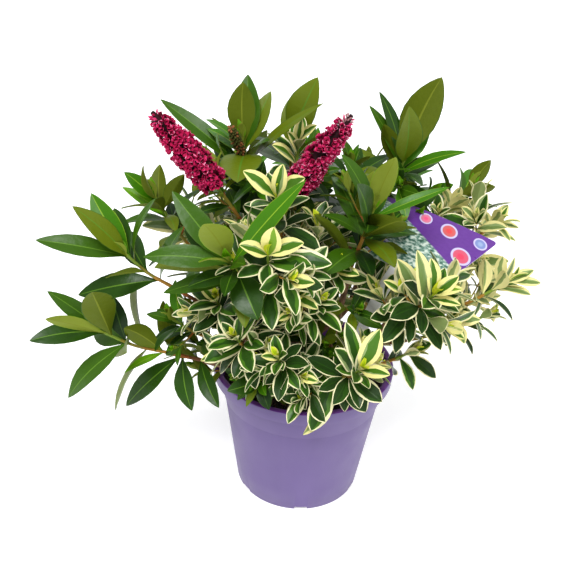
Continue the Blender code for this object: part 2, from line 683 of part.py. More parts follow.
def grow():
    """The whole plant: boughs, and each shoot's stem, twigs, leaves and blossom."""
    boughs = {name: bough_line(name) for name in BOUGHS}
    room = Room()
    fixed_solids(room, boughs)
    masses = {}
    for name in SHOOTS:
        line, radii = stem_line(name, boughs)
        mass = dict(kind=SHOOTS[name][0], stem=(line, radii), twigs=[], leaves=[], blossom=[])
        masses[name] = mass
        if name in SPIKES:
            mass["blossom"].append(spike_rings(name, line))
        if name == "leaves_top_left":
            base, _ = along(line, SPENT_SHARE)
            tip = place(*SPENT_TIP)
            points = [base.lerp(tip, share) for share, _ in SPENT_PROFILE]
            mass["blossom"].append((points, [radius for _, radius in SPENT_PROFILE]))
        room.add(name, *tube(line, radii, 4))
        for points, radii in mass["blossom"]:
            room.add(name, *tube(points, radii, 8))
    wishes = {}
    for order, (name, row) in enumerate(SHOOTS.items()):
        kind, _, _, _, pairs, length, turn, sides = row
        rng = random.Random(SEED + order)
        line = masses[name]["stem"][0]
        leaders = leading_leaves(name, kind, line)
        for leaf in leaders:
            settle_leaf(room, masses[name], name, leaf)
        pairs_here = leaf_pairs(rng, kind, line, pairs, length, turn)
        queue = [(None, leaf) for leaf in pairs_here if not crowded(leaf, leaders)]
        for twig, twist in side_twigs(rng, kind, line, sides, SIDE_REACH * length):
            queue.append((twig, None))
            for leaf in leaf_pairs(rng, kind, twig, SIDE_PAIRS, SIDE_LEAVES * length, twist):
                queue.append((twig, leaf))
        wishes[name] = queue
    step = 0
    while any(step < len(queue) for queue in wishes.values()):
        for name, queue in wishes.items():
            if step < len(queue):
                settle(room, masses[name], name, *queue[step])
        step += 1
    return boughs, masses


def settle(room, mass, name, twig, leaf):
    """Accept a twig, or a leaf on the stem or on an accepted twig."""
    if leaf is None:
        wide = tube(twig, taper(TWIG_ROOT + LEAF_GAP, TWIG_TIP + LEAF_GAP, len(twig)), 3)
        if room.is_free(name, *wide) and not in_pot(wide[0]):
            mass["twigs"].append(twig)
            room.add(name, *tube(twig, taper(TWIG_ROOT, TWIG_TIP, len(twig)), 3))
        return
    if twig is not None and not any(twig is kept for kept in mass["twigs"]):
        return
    settle_leaf(room, mass, name, leaf)


def settle_leaf(room, mass, name, leaf):
    """Accept a leaf if it is clear, else one a little shorter or turned."""
    length = leaf["tip"] - leaf["base"]
    ahead, across, up = leaf_frame(leaf)
    tries = [(1.0, 0.0, 0.0), (0.86, 0.0, 0.0), (0.9, 0.22, 0.0), (0.9, -0.22, 0.0),
             (0.9, 0.0, 0.22), (0.9, 0.0, -0.22), (0.7, 0.0, 0.0)]
    for size, turn, lift in tries:
        trial = dict(leaf)
        way = (ahead + across * turn + up * lift).normalized()
        trial["tip"] = leaf["base"] + way * length.length * size
        shell = leaf_solid(trial, LEAF_GAP)
        if room.is_free(name, *shell) and not in_pot(shell[0]):
            mass["leaves"].append(trial)
            room.add(name, *leaf_solid(trial))
            return


# Solids

def material(name, colour, roughness, metallic=0.0):
    made = bpy.data.materials.new(name)
    made.use_nodes = True
    shader = made.node_tree.nodes["Principled BSDF"]
    shader.inputs["Base Color"].default_value = (*colour, 1.0)
    shader.inputs["Roughness"].default_value = roughness
    shader.inputs["Metallic"].default_value = metallic
    return made


def add_object(name, data, collection, surface=None):
    thing = bpy.data.objects.new(name, data)
    collection.objects.link(thing)
    if surface:
        data.materials.append(surface)
    return thing


def mesh_object(name, vertices, faces, collection, surface=None):
    mesh = bpy.data.meshes.new(name)
    mesh.from_pydata([tuple(v) for v in vertices], [], faces)
    mesh.update()
    return add_object(name, mesh, collection, surface)


def turned(name, profile, collection, surface):
    """A closed section turned round Z by a Screw modifier."""
    mesh = bpy.data.meshes.new(name)
    points = [(radius, 0.0, height) for radius, height in profile]
    edges = []
    for i in range(len(points)):
        after = (i + 1) % len(points)
        if points[i][0] or points[after][0]:
            edges.append((i, after))
    mesh.from_pydata(points, edges, [])
    thing = add_object(name, mesh, collection, surface)
    screw = thing.modifiers.new("Turn", "SCREW")
    screw.steps = POT_SEGMENTS
    screw.render_steps = POT_SEGMENTS
    screw.use_merge_vertices = True
    screw.merge_threshold = 0.00005
    screw.use_normal_calculate = True
    return thing


def limb(name, points, radii, collection, surface, fineness=1):
    """A tapering limb: a bevelled curve with filled ends."""
    curve = bpy.data.curves.new(name, "CURVE")
    curve.dimensions = "3D"
    curve.bevel_depth = 1.0
    curve.bevel_resolution = fineness
    curve.use_fill_caps = True
    spline = curve.splines.new("POLY")
    spline.points.add(len(points) - 1)
    for knot, point, radius in zip(spline.points, points, radii):
        knot.co = (*point, 1.0)
        knot.radius = radius
    return add_object(name, curve, collection, surface)


def as_mesh(thing):
    """Replace a curve object by its mesh, with the caps welded on."""
    bpy.context.view_layer.update()
    seen = thing.evaluated_get(bpy.context.evaluated_depsgraph_get())
    mesh = bpy.data.meshes.new_from_object(seen)
    name = thing.name
    collection = thing.users_collection[0]
    bpy.data.objects.remove(thing, do_unlink=True)
    solid = add_object(name, mesh, collection)
    weld(mesh)
    return solid


def weld(mesh):
    work = bmesh.new()
    work.from_mesh(mesh)
    bmesh.ops.remove_doubles(work, verts=work.verts, dist=1e-6)
    bmesh.ops.recalc_face_normals(work, faces=work.faces)
    work.to_mesh(mesh)
    work.free()


def keep_largest(mesh):
    """Drop loose scraps and sealed hollows, and keep the one outer body."""
    work = bmesh.new()
    work.from_mesh(mesh)
    left = set(work.faces)
    bodies = []
    while left:
        body = {left.pop()}
        edge = list(body)
        while edge:
            face = edge.pop()
            for side in face.edges:
                for near in side.link_faces:
                    if near in left:
                        left.discard(near)
                        body.add(near)
                        edge.append(near)
        bodies.append(body)
    best = max(bodies, key=lambda body: sum(face.calc_area() for face in body))
    bmesh.ops.delete(work, geom=[f for b in bodies if b is not best for f in b], context="FACES")
    bmesh.ops.delete(work, geom=[v for v in work.verts if not v.link_faces], context="VERTS")
    work.to_mesh(mesh)
    work.free()


def fused(stem, pieces, solver):
    """The mesh of the stem joined with a collection's pieces."""
    join = stem.modifiers.new("Join", "BOOLEAN")
    join.operation = "UNION"
    join.operand_type = "COLLECTION"
    join.collection = pieces
    join.solver = solver
    bpy.context.view_layer.update()
    seen = stem.evaluated_get(bpy.context.evaluated_depsgraph_get())
    solid = bpy.data.meshes.new_from_object(seen)
    stem.modifiers.remove(join)
    return solid


def is_closed(mesh):
    """True where each edge joins just two faces."""
    work = bmesh.new()
    work.from_mesh(mesh)
    closed = all(len(edge.link_faces) == 2 for edge in work.edges)
    work.free()
    return closed


def build_mass(name, mass, parts, cutters, surfaces):
    """One solid from a stem with its twigs, leaves and blossom fused on."""
    pieces = bpy.data.collections.new(name + "_pieces")
    cutters.children.link(pieces)
    surface = surfaces["blossom"] if name in SPIKES else surfaces[mass["kind"]]
    stem = as_mesh(limb(name, *mass["stem"], parts, None, 0))
    stem.data.materials.clear()
    stem.data.materials.append(surface)
    for twig in mass["twigs"]:
        vertices, faces = tube(twig, taper(TWIG_ROOT, TWIG_TIP, len(twig)), 3)
        mesh_object("twig", vertices, faces, pieces)
    for leaf in mass["leaves"]:
        mesh_object("leaf", *leaf_solid(leaf), pieces)
    for points, radii in mass["blossom"]:
        mesh_object("blossom", *tube(points, radii, SPIKE_SIDES), pieces)
    for piece in pieces.objects:
        weld(piece.data)
    for solver in ("EXACT", "MANIFOLD"):
        solid = fused(stem, pieces, solver)
        keep_largest(solid)
        if is_closed(solid):
            break
    stem.data = solid
    solid.materials.clear()
    solid.materials.append(surface)
    for piece in list(pieces.objects):
        bpy.data.objects.remove(piece, do_unlink=True)
    bpy.data.collections.remove(pieces)


def build_pot(parts, cutters, surfaces):
    pot = turned("pot", pot_profile(), parts, surfaces["pot"])
    for i in range(NOTCH_COUNT):
        bpy.ops.mesh.primitive_cube_add(size=1.0)
        box = bpy.context.object
        box.name = "notch_cutter_%d" % (i + 1)
        turn = NOTCH_TURN + 2 * math.pi * i / NOTCH_COUNT
        middle = BASE_RADIUS - NOTCH_DEPTH / 2 + NOTCH_BEYOND
        size = Matrix.Diagonal((NOTCH_DEPTH + 2 * NOTCH_BEYOND, NOTCH_WIDTH, 2 * NOTCH_HEIGHT, 1.0))
        shift = Matrix.Translation((middle, 0.0, 0.0))
        box.matrix_world = Matrix.Rotation(turn, 4, "Z") @ shift @ size
        for home in list(box.users_collection):
            home.objects.unlink(box)
        cutters.objects.link(box)
        box.hide_render = True
        box.display_type = "WIRE"
        cut = pot.modifiers.new("Notch", "BOOLEAN")
        cut.operation = "DIFFERENCE"
        cut.object = box
        cut.solver = "EXACT"
    return pot


def build_soil(parts, cutters, surfaces):
    floor = POT_WALL + GAP
    profile = [(0.0, SOIL_TOP), (soil_radius(SOIL_TOP), SOIL_TOP), (soil_radius(floor), floor), (0.0, floor)]
    soil = turned("soil", profile, parts, surfaces["soil"])
    points, widths = label_line()
    wide = [width + 2 * GAP for width in widths[-5:]]
    sunk = strip(points[-5:], card_frame()[1], wide, CARD_THICK + 2 * GAP)
    slot = mesh_object("slot_cutter", *sunk, cutters)
    weld(slot.data)
    for v in slot.data.vertices:
        if v.co.z < STAKE_END.z + SOIL_CLEAR:
            v.co.z -= 2 * GAP
    slot.hide_render = True
    slot.display_type = "WIRE"
    cut = soil.modifiers.new("Slot", "BOOLEAN")
    cut.operation = "DIFFERENCE"
    cut.object = slot
    cut.solver = "EXACT"


def main():
    for thing in list(bpy.data.objects):
        bpy.data.objects.remove(thing, do_unlink=True)
    parts = bpy.data.collections.new("potted_hebe")
    cutters = bpy.data.collections.new("cutters")
    bpy.context.scene.collection.children.link(parts)
    bpy.context.scene.collection.children.link(cutters)
    surfaces = dict(
        pot=material("pot_plastic", (0.24, 0.17, 0.40), 0.45),
        soil=material("soil_crumb", (0.02, 0.014, 0.010), 0.95),
        label=material("label_card", (0.16, 0.05, 0.28), 0.35),
        bark=material("bark", (0.12, 0.065, 0.03), 0.8),
        green=material("green_leaf", (0.07, 0.19, 0.02), 0.4),
        cream=material("cream_leaf", (0.42, 0.46, 0.18), 0.45),
        blossom=material("crimson_blossom", (0.50, 0.01, 0.10), 0.6),
    )
    boughs, masses = grow()
    build_pot(parts, cutters, surfaces)
    build_soil(parts, cutters, surfaces)
    points, widths = label_line()
    card = strip(points, card_frame()[1], widths, CARD_THICK)
    label = mesh_object("plant_label", *card, parts, surfaces["label"])
    weld(label.data)
    points, radii = trunk_line()
    limb("trunk", points, radii, parts, surfaces["bark"], 4)
    for name, (points, radii) in boughs.items():
        limb(name, points, radii, parts, surfaces["bark"])
    for name, mass in masses.items():
        build_mass(name, mass, parts, cutters, surfaces)


main()
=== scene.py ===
import math
import random

import bmesh
import bpy
from mathutils import Matrix, Vector, noise
from mathutils.bvhtree import BVHTree


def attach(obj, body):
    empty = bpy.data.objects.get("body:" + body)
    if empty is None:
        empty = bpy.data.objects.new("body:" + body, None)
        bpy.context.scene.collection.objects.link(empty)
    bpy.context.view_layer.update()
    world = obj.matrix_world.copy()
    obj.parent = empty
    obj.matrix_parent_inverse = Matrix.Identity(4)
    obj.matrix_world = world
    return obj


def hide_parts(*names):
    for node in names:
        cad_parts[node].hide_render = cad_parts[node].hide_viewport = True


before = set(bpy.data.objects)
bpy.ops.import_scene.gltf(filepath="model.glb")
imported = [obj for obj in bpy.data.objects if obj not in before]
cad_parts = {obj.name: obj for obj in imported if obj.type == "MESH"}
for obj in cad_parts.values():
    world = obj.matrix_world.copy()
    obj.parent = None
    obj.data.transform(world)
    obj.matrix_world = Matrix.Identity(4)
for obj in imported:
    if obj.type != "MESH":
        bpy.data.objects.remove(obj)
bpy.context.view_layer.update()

# Pot, turned round the Z axis
POT_HEIGHT = 0.148
RIM_RADIUS = 0.095
RIM_BAND = 0.013
RIM_LIP = 0.0065
BODY_TOP_RADIUS = 0.0862
BASE_RADIUS = 0.0657
POT_WALL = 0.0018
POT_ROUND = 0.0008
STEP_DROP = 0.025
STEP_RISE = 0.0006
FOOT_ROUND = 0.0014
NOTCH_COUNT = 6
NOTCH_HEIGHT = 0.004
NOTCH_DEPTH = 0.004
NOTCH_WIDTH = 0.014
NOTCH_BEYOND = 0.003
NOTCH_TURN = math.radians(-85)
POT_SEGMENTS = 48

# Soil and clearances
SOIL_TOP = 0.126
SOIL_CLEAR = 0.002
GAP = 0.0003
LEAF_GAP = 0.0005

# Trunk: its top and lean, and its radius at shares of its height
TRUNK_TOP = 0.188
TRUNK_LEAN = 0.003
TRUNK_PROFILE = ((0.0, 0.0175), (0.05, 0.0145), (0.16, 0.0118), (0.4, 0.0105),
                 (0.75, 0.0098), (0.94, 0.0088), (1.0, 0.0060))

# Boughs and twigs
BOUGH_ROOT = 0.0036
BOUGH_TIP = 0.0024
STEM_ROOT = 0.0021
STEM_TIP = 0.0011
TWIG_ROOT = 0.0010
TWIG_TIP = 0.0006
ROOT_SHIFT = 0.0006
STRAIGHT = 0.002

# Line of sight that the layout is drawn on: a place is read across and down
# a square sheet, and its depth is the distance behind the pot's axis.
SHEET_MIDDLE = 292.0
SHEET_RANGE = 862.5
SIGHT_FROM = Vector((-0.0161, -0.7595, 0.6557))
SIGHT_TILT = math.radians(29.3)
SIGHT_ROLL = math.radians(3.16)

# Leaf kinds: width for each metre of length, widest leaf, stations as
# (share of length, share of width), gap from node to node along a stem, rise of
# the arch for each metre, and how far each pair from the tip down spreads
LEAF_KINDS = {
    "green": dict(width=0.37, broadest=0.0285, stations=((0.0, 0.05), (0.34, 0.95), (0.70, 0.82)),
                  node=0.0175, arch=0.07, spread=(20, 38, 54, 66, 74, 80)),
    "cream": dict(width=0.40, broadest=0.018, stations=((0.0, 0.07), (0.55, 1.0)),
                  node=0.0105, arch=0.08, spread=(12, 25, 40, 54, 66, 76)),
}

# Blade thickness for each metre of leaf and at least, size of each pair from the
# tip down, the leafy share of a stem, and degrees or share that a leaf strays
LEAF_THICK = 0.012
LEAF_THINNEST = 0.0006
TIP_SHARES = (0.42, 0.68, 0.88, 1.0)
LEAFY_SHARE = 0.86
LEAF_TURN = 12
LEAF_LEAN = 7
LEAF_SAG = 0.05

# Side shoots: where they sit on a stem, their reach and leaf length for each metre
# of the stem's leaf length, and their pairs. Then how near and how alike in
# heading a leaf is to a leading leaf when it gives way to it
SIDE_SHARES = (0.42, 0.76)
SIDE_REACH = 0.9
SIDE_LEAVES = 0.8
SIDE_PAIRS = 3
CROWD_NEAR = 0.020
CROWD_ALIKE = 0.80

# Boughs: height on the trunk, then the end's place across, down and behind
BOUGHS = {
    "bough_left_low": (0.146, (205, 361, -0.055)),
    "bough_left_middle": (0.1625, (200, 303, -0.060)),
    "bough_left_up": (0.178, (252, 236, -0.065)),
    "bough_top_left": (0.184, (262, 215, -0.005)),
    "bough_top_right": (0.178, (374, 224, 0.032)),
    "bough_right_up": (0.168, (425, 262, 0.020)),
    "bough_right_front": (0.16, (350, 270, -0.080)),
    "bough_right_low": (0.148, (388, 322, -0.085)),
    "bough_front": (0.17, (272, 300, -0.105)),
    "bough_front_left": (0.1555, (262, 352, -0.085)),
    "bough_front_right": (0.14, (331, 379, -0.100)),
    "bough_back_left": (0.150, (245, 232, 0.080)),
    "bough_back": (0.160, (318, 200, 0.085)),
    "bough_back_right": (0.150, (395, 236, 0.085)),
}

# Shoots: leaf kind, bough, share along the bough, the tip's place,
# leaf pairs, leaf length, turn of the first pair, side shoots
SHOOTS = {
    "leaves_left_low": ("green", "bough_left_low", 1.0, (104, 332, -0.080), 5, 0.066, 20, 0),
    "leaves_left_near": ("green", "bough_left_low", 0.80, (172, 318, -0.075), 4, 0.046, 60, 0),
    "leaves_left_middle": ("green", "bough_left_middle", 1.0, (127, 255, -0.090), 5, 0.066, 0, 0),
    "leaves_left_inner": ("cream", "bough_left_middle", 0.72, (216, 300, -0.100), 6, 0.036, 30, 1),
    "leaves_left_high": ("green", "bough_left_middle", 0.88, (156, 198, -0.035), 4, 0.056, 45, 0),
    "leaves_left_back": ("cream", "bough_left_up", 0.60, (190, 232, -0.010), 6, 0.040, 15, 1),
    "spike_left": ("green", "bough_left_up", 1.0, (214, 184, -0.090), 1, 0.045, 40, 0),
    "leaves_centre_left": ("green", "bough_left_up", 0.78, (230, 262, -0.135), 4, 0.060, 30, 0),
    "leaves_top_left": ("green", "bough_top_left", 1.0, (243, 142, -0.030), 5, 0.060, 75, 0),
    "leaves_top_middle": ("green", "bough_top_left", 0.80, (290, 138, -0.012), 4, 0.056, 20, 0),
    "leaves_top_back": ("cream", "bough_top_left", 0.62, (298, 141, -0.040), 5, 0.038, 50, 1),
    "leaves_top_right": ("green", "bough_top_right", 1.0, (404, 160, 0.000), 5, 0.064, 60, 0),
    "leaves_top_inner": ("green", "bough_top_right", 0.75, (352, 168, 0.010), 4, 0.056, 10, 0),
    "leaves_right_up": ("cream", "bough_right_up", 0.82, (452, 205, 0.020), 6, 0.040, 35, 1),
    "leaves_right_high": ("cream", "bough_right_up", 1.0, (497, 222, 0.000), 6, 0.040, 10, 1),
    "leaves_right_back": ("green", "bough_right_up", 0.62, (470, 188, 0.055), 4, 0.058, 80, 0),
    "leaves_right_middle": ("green", "bough_right_front", 1.0, (372, 212, -0.095), 5, 0.062, 25, 0),
    "leaves_centre_right": ("cream", "bough_right_front", 0.72, (318, 228, -0.085), 7, 0.040, 70, 1),
    "leaves_right_front": ("cream", "bough_right_low", 1.0, (433, 295, -0.135), 7, 0.040, 15, 1),
    "leaves_far_right": ("cream", "bough_right_low", 0.86, (508, 281, -0.065), 7, 0.043, 55, 1),
    "leaves_right_low": ("cream", "bough_right_low", 0.66, (488, 314, -0.062), 6, 0.029, 0, 1),
    "leaves_centre": ("cream", "bough_front", 1.0, (268, 255, -0.140), 7, 0.043, 80, 1),
    "leaves_upper_centre": ("cream", "bough_front", 0.66, (276, 197, -0.108), 6, 0.040, 40, 1),
    "spike_right": ("green", "bough_front", 0.50, (293, 191, -0.070), 1, 0.040, 70, 0),
    "leaves_middle": ("cream", "bough_front", 0.84, (320, 302, -0.128), 6, 0.032, 25, 1),
    "leaves_low_left": ("cream", "bough_front_left", 1.0, (236, 338, -0.125), 6, 0.038, 5, 2),
    "leaves_front_low": ("green", "bough_front_left", 0.80, (258, 382, -0.112), 4, 0.042, 50, 0),
    "leaves_low_middle": ("cream", "bough_front_right", 0.80, (278, 358, -0.142), 6, 0.032, 65, 1),
    "leaves_low_right": ("cream", "bough_front_right", 1.0, (360, 370, -0.145), 7, 0.038, 30, 1),
    "leaves_rim_right": ("cream", "bough_front_right", 0.62, (412, 351, -0.070), 5, 0.032, 15, 1),
    "leaves_back_left_low": ("cream", "bough_back_left", 0.78, (214, 238, 0.110), 6, 0.042, 40, 1),
    "leaves_back_left_high": ("green", "bough_back_left", 1.0, (240, 178, 0.080), 5, 0.060, 15, 0),
    "leaves_back_low": ("cream", "bough_back", 0.55, (265, 225, 0.155), 6, 0.042, 0, 1),
    "leaves_back_low_right": ("cream", "bough_back", 0.72, (352, 222, 0.160), 6, 0.042, 65, 1),
    "leaves_back_high": ("green", "bough_back", 1.0, (316, 150, 0.100), 5, 0.060, 60, 0),
    "leaves_back_right_low": ("cream", "bough_back_right", 0.78, (428, 248, 0.110), 6, 0.042, 25, 1),
    "leaves_back_right_high": ("green", "bough_back_right", 1.0, (405, 182, 0.085), 5, 0.060, 70, 0),
}

# Leading leaves that shape the outline: share along the stem, the tip's place,
# how far the upper face is turned to the front, or below zero the underside,
# and the blade's width as a share of its kind's
LEADERS = {
    "leaves_left_low": (
        (1.00, (29, 341, -0.105), 0.6, 0.9), (0.98, (47, 291, -0.085), 0.7, 0.7),
        (0.97, (45, 319, -0.125), -0.4, 0.55), (0.93, (92, 292, -0.120), -1.0, 1.1),
        (0.76, (68, 398, -0.080), 0.9, 0.8), (0.78, (112, 295, -0.060), 1.0, 1.1),
        (0.42, (124, 328, -0.105), -0.6, 0.8), (0.40, (124, 373, -0.095), 0.6, 0.55),
        (0.24, (126, 406, -0.060), 0.9, 0.75), (0.22, (192, 411, -0.085), 1.0, 1.0),
        (0.23, (163, 300, -0.030), -0.6, 1.1), (0.04, (219, 408, -0.095), 0.9, 0.9),
    ),
    "leaves_left_middle": (
        (0.98, (35, 240, -0.100), 0.6, 0.7), (0.98, (72, 206, -0.110), 0.6, 0.75),
        (0.95, (91, 193, -0.065), 0.8, 0.9), (0.95, (114, 208, -0.050), 1.0, 0.9),
        (0.72, (105, 278, -0.125), -0.5, 0.7), (0.90, (156, 198, -0.120), 0.5, 0.4),
        (0.55, (78, 295, -0.080), 0.6, 0.9),
    ),
    "leaves_left_back": (
        (1.00, (142, 226, -0.030), 0.7, 1.1), (0.95, (158, 249, -0.020), 0.7, 1.0),
    ),
    "leaves_left_high": (
        (0.98, (124, 172, -0.040), 1.0, 1.0), (0.98, (143, 165, -0.060), 0.5, 0.6),
        (0.95, (160, 164, -0.010), -1.0, 1.1), (0.80, (122, 187, -0.020), 0.4, 0.6),
        (0.85, (176, 232, -0.070), -0.5, 0.9), (0.90, (184, 174, -0.030), -1.0, 1.1),
    ),
    "leaves_centre_left": (
        (0.95, (143, 257, -0.135), 0.7, 0.75), (0.95, (172, 191, -0.110), 0.7, 0.75),
        (1.00, (204, 224, -0.165), -1.0, 1.2), (0.98, (198, 262, -0.170), -0.4, 0.4),
        (0.95, (306, 180, -0.135), 0.7, 0.6), (0.78, (258, 320, -0.155), 1.0, 1.6),
        (0.62, (163, 293, -0.120), 0.5, 0.65), (0.80, (154, 268, -0.100), -0.8, 1.0),
    ),
    "leaves_top_left": (
        (0.96, (243, 82, -0.035), -1.0, 1.15), (0.90, (248, 74, -0.005), 1.0, 1.0),
        (0.90, (271, 91, -0.010), 0.6, 0.9), (0.86, (236, 188, -0.105), 1.0, 1.5),
        (0.62, (160, 99, 0.010), 0.5, 0.6), (0.72, (211, 117, 0.015), -0.6, 0.6),
        (0.72, (324, 103, -0.060), 0.3, 0.5),
    ),
    "leaves_top_middle": (
        (0.98, (318, 77, -0.020), 1.0, 1.2), (0.92, (290, 98, 0.010), 0.8, 0.9),
        (0.80, (352, 128, 0.000), -0.6, 0.7),
    ),
    "leaves_top_back": (
        (1.00, (317, 125, -0.050), 0.8, 0.9), (1.00, (302, 119, -0.050), 0.8, 0.9),
        (0.92, (286, 128, -0.055), 0.8, 0.9), (0.85, (272, 145, -0.060), 0.8, 0.9),
    ),
    "leaves_top_inner": (
        (0.95, (298, 199, -0.030), 0.5, 0.6),
    ),
    "leaves_top_right": (
        (0.97, (442, 77, -0.010), -1.0, 1.2), (0.97, (409, 106, -0.030), 1.0, 1.0),
        (0.92, (379, 91, 0.015), 0.5, 0.5), (0.88, (369, 105, 0.015), 0.5, 0.5),
        (0.80, (467, 152, -0.015), 0.5, 0.5), (0.84, (384, 124, -0.005), -0.9, 0.9),
    ),
    "leaves_right_middle": (
        (0.97, (396, 157, -0.115), -0.9, 0.85), (0.97, (341, 154, -0.100), 0.5, 0.75),
        (0.60, (357, 184, -0.135), 0.8, 1.1), (0.60, (402, 220, -0.145), -1.0, 1.1),
        (0.90, (450, 187, -0.085), 0.5, 0.4), (0.12, (314, 214, -0.125), -0.5, 0.5),
    ),
    "leaves_right_back": (
        (0.98, (491, 160, 0.055), -1.0, 1.15), (0.85, (498, 207, 0.050), 0.5, 0.4),
    ),
    "leaves_centre": (
        (1.00, (239, 245, -0.160), 0.8, 1.0), (1.00, (304, 243, -0.155), 0.8, 1.0),
        (0.98, (274, 227, -0.150), 1.0, 1.3), (0.90, (332, 264, -0.145), 0.8, 1.0),
        (0.84, (264, 287, -0.165), 0.5, 1.0), (0.86, (312, 266, -0.160), 0.6, 1.0),
    ),
    "leaves_upper_centre": (
        (1.00, (243, 171, -0.120), 0.9, 1.0), (1.00, (283, 164, -0.115), 0.8, 1.0),
        (0.98, (305, 178, -0.125), 0.8, 1.0),
    ),
    "leaves_right_front": (
        (0.82, (417, 250, -0.150), 0.9, 0.9), (0.95, (431, 258, -0.140), 0.6, 0.8),
        (1.00, (459, 276, -0.145), 0.8, 1.0), (1.00, (463, 289, -0.150), 0.7, 0.8),
        (0.90, (461, 305, -0.150), 0.7, 0.7), (0.66, (397, 259, -0.130), 0.9, 0.9),
    ),
    "leaves_low_right": (
        (1.00, (380, 329, -0.150), 0.9, 1.0), (1.00, (390, 375, -0.165), 0.8, 1.0),
        (0.90, (346, 322, -0.125), 0.8, 0.8), (0.04, (311, 431, -0.130), 0.9, 1.2),
        (0.30, (366, 412, -0.130), 0.8, 1.3), (0.62, (382, 402, -0.150), 0.8, 1.2),
        (0.10, (303, 435, -0.125), -0.5, 1.0),
    ),
    "leaves_front_low": (
        (0.75, (227, 391, -0.120), 0.8, 1.3), (0.98, (269, 410, -0.128), 0.9, 1.3),
        (0.85, (246, 407, -0.118), 0.3, 0.7),
    ),
    "leaves_far_right": (
        (1.00, (541, 283, -0.065), 0.5, 0.9), (0.97, (534, 270, -0.060), 0.5, 0.9),
        (0.90, (531, 295, -0.085), 0.4, 0.9), (0.92, (503, 256, -0.060), -0.8, 1.0),
        (0.80, (485, 259, -0.060), -0.8, 1.0),
    ),
    "leaves_right_high": (
        (0.97, (519, 228, 0.000), 0.4, 0.9), (0.97, (501, 208, 0.005), -0.7, 1.0),
        (0.95, (510, 241, -0.015), 0.5, 0.9), (0.90, (484, 211, 0.000), -0.8, 1.0),
    ),
    "leaves_right_up": (
        (0.98, (461, 187, 0.015), -0.8, 1.0), (0.98, (443, 187, 0.020), -0.8, 1.0),
        (0.90, (469, 199, 0.000), -0.8, 1.0),
    ),
    "leaves_rim_right": (
        (0.85, (413, 390, -0.085), 0.7, 1.0), (0.95, (436, 378, -0.080), 0.7, 1.1),
    ),
}

# Flower spikes: the tip's place, the radius at shares of the length, and how far
# the foot reaches down the stem
SPIKES = {
    "spike_left": (152, 112, -0.100),
    "spike_right": (352, 115, -0.065),
}
SPIKE_PROFILE = ((0.0, 0.0110), (0.10, 0.0155), (0.45, 0.0150), (0.80, 0.0105), (1.0, 0.0040))
SPIKE_SEAT = 0.002

# Spent flower head on the upper left shoot, as (share of its length, radius)
SPENT_SHARE = 0.66
SPENT_TIP = (231, 128, -0.055)
SPENT_RADIUS = 0.0060
SPENT_PROFILE = ((0.0, 0.0009), (0.3, 0.0009), (0.5, SPENT_RADIUS), (0.9, SPENT_RADIUS), (1.0, 0.003))

# Plant label: card lying on the shoots with a bent foot pushed into the soil
CARD_LEFT = (386, 195, 0.005)
CARD_RIGHT = (498, 242, -0.065)
CARD_SLOPE = Vector((-0.534, -0.746, -0.398))
CARD_FOOT_SHARE = 0.72
CARD_LONG = 0.072
CARD_THICK = 0.0008
STAKE_WIDE = 0.014
STAKE_TAPER = 0.55
STAKE_END = Vector((0.034, -0.036, 0.106))

SEED = 41

# Scene values: fineness of the pot and soil
POT_SIDES = 144
SOIL_SIDES = 96
SOIL_RINGS = 24

# Relief of the soil as (grain, depth), the level edge it keeps, and its crumbs: how
# many, their sizes, how many of them are chips of bark, and the shape of each
SOIL_RELIEF = ((45, 0.0035), (240, 0.0016))
SOIL_EDGE = 0.004
CRUMB_COUNT = 700
CRUMB_SIZES = (0.0012, 0.0030)
CHIP_SHARE = 0.3
CHIP_SHAPE = (2.2, 1.0, 0.5)
CRUMB_SHAPE = (1.0, 0.8, 0.8)

# Skin of the wood: step along it, sides, relief and grain. Then how far a bough
# and a stem run into what carries them, and the step along a stem
TRUNK_SKIN = (0.0015, 40, 0.16, 0.06)
BOUGH_SKIN = (0.0025, 12, 0.14, 0.12)
BOUGH_SUNK = 0.006
STEM_SUNK = 0.003
STEM_STEP = 0.0022

# Label: card thickness, curl, corner radius and strips across, then the print
# as places on the card from its lower left corner, each in shares of its sides
CARD_THIN = 0.0005
CARD_CURL = 0.0030
CARD_CORNER_ROUND = 0.004
CARD_STRIPS = 16
CARD_SLANT = ((0.6, 0.8), 0.78)
CARD_MOTIFS = (
    ((0.42, 0.88), (0.055, 0.085, 0.3), ((214, 118, 146), (240, 84, 132))),
    ((0.64, 0.84), (0.070, 0.110, 0.3), ((204, 92, 92), (222, 66, 70))),
    ((0.90, 0.86), (0.055, 0.085, 0.3), ((122, 138, 190), (146, 166, 202))),
    ((0.84, 0.56), (0.080, 0.125, 0.3), ((206, 84, 110), (224, 60, 92))),
    ((0.20, 0.22), (0.150, 0.130, 0.3), ((70, 66, 132), (226, 190, 44))),
)

# Finer growth: reach of a side shoot and size of its leaves for each metre of
# the shoot's leaf length, leaf pairs on it, and how many a stem gets. Then the
# leafy twigs on each bough: how many, between which shares, reach and leaf length.
# The open shoots get none, nothing fine grows below the fine floor, and a shoot
# with a right limit keeps left of it. Buds: size and spread of each closed pair
FINE_SHOOTS = {"green": (0.8, 0.62, 4, 3), "cream": (1.0, 0.92, 4, 5)}
INNER_SHOOTS = (9, 0.25, 0.97, 0.038, 0.036)
OPEN_SHOOTS = ("leaves_left_low", "leaves_left_middle", "leaves_right_low", "leaves_rim_right")
FINE_FLOOR = 0.155
FINE_RIGHT = {"leaves_low_right": 0.060}
BUD_PAIRS = {"green": ((0.36, 10), (0.22, 6)), "cream": ((0.42, 16), (0.26, 8))}

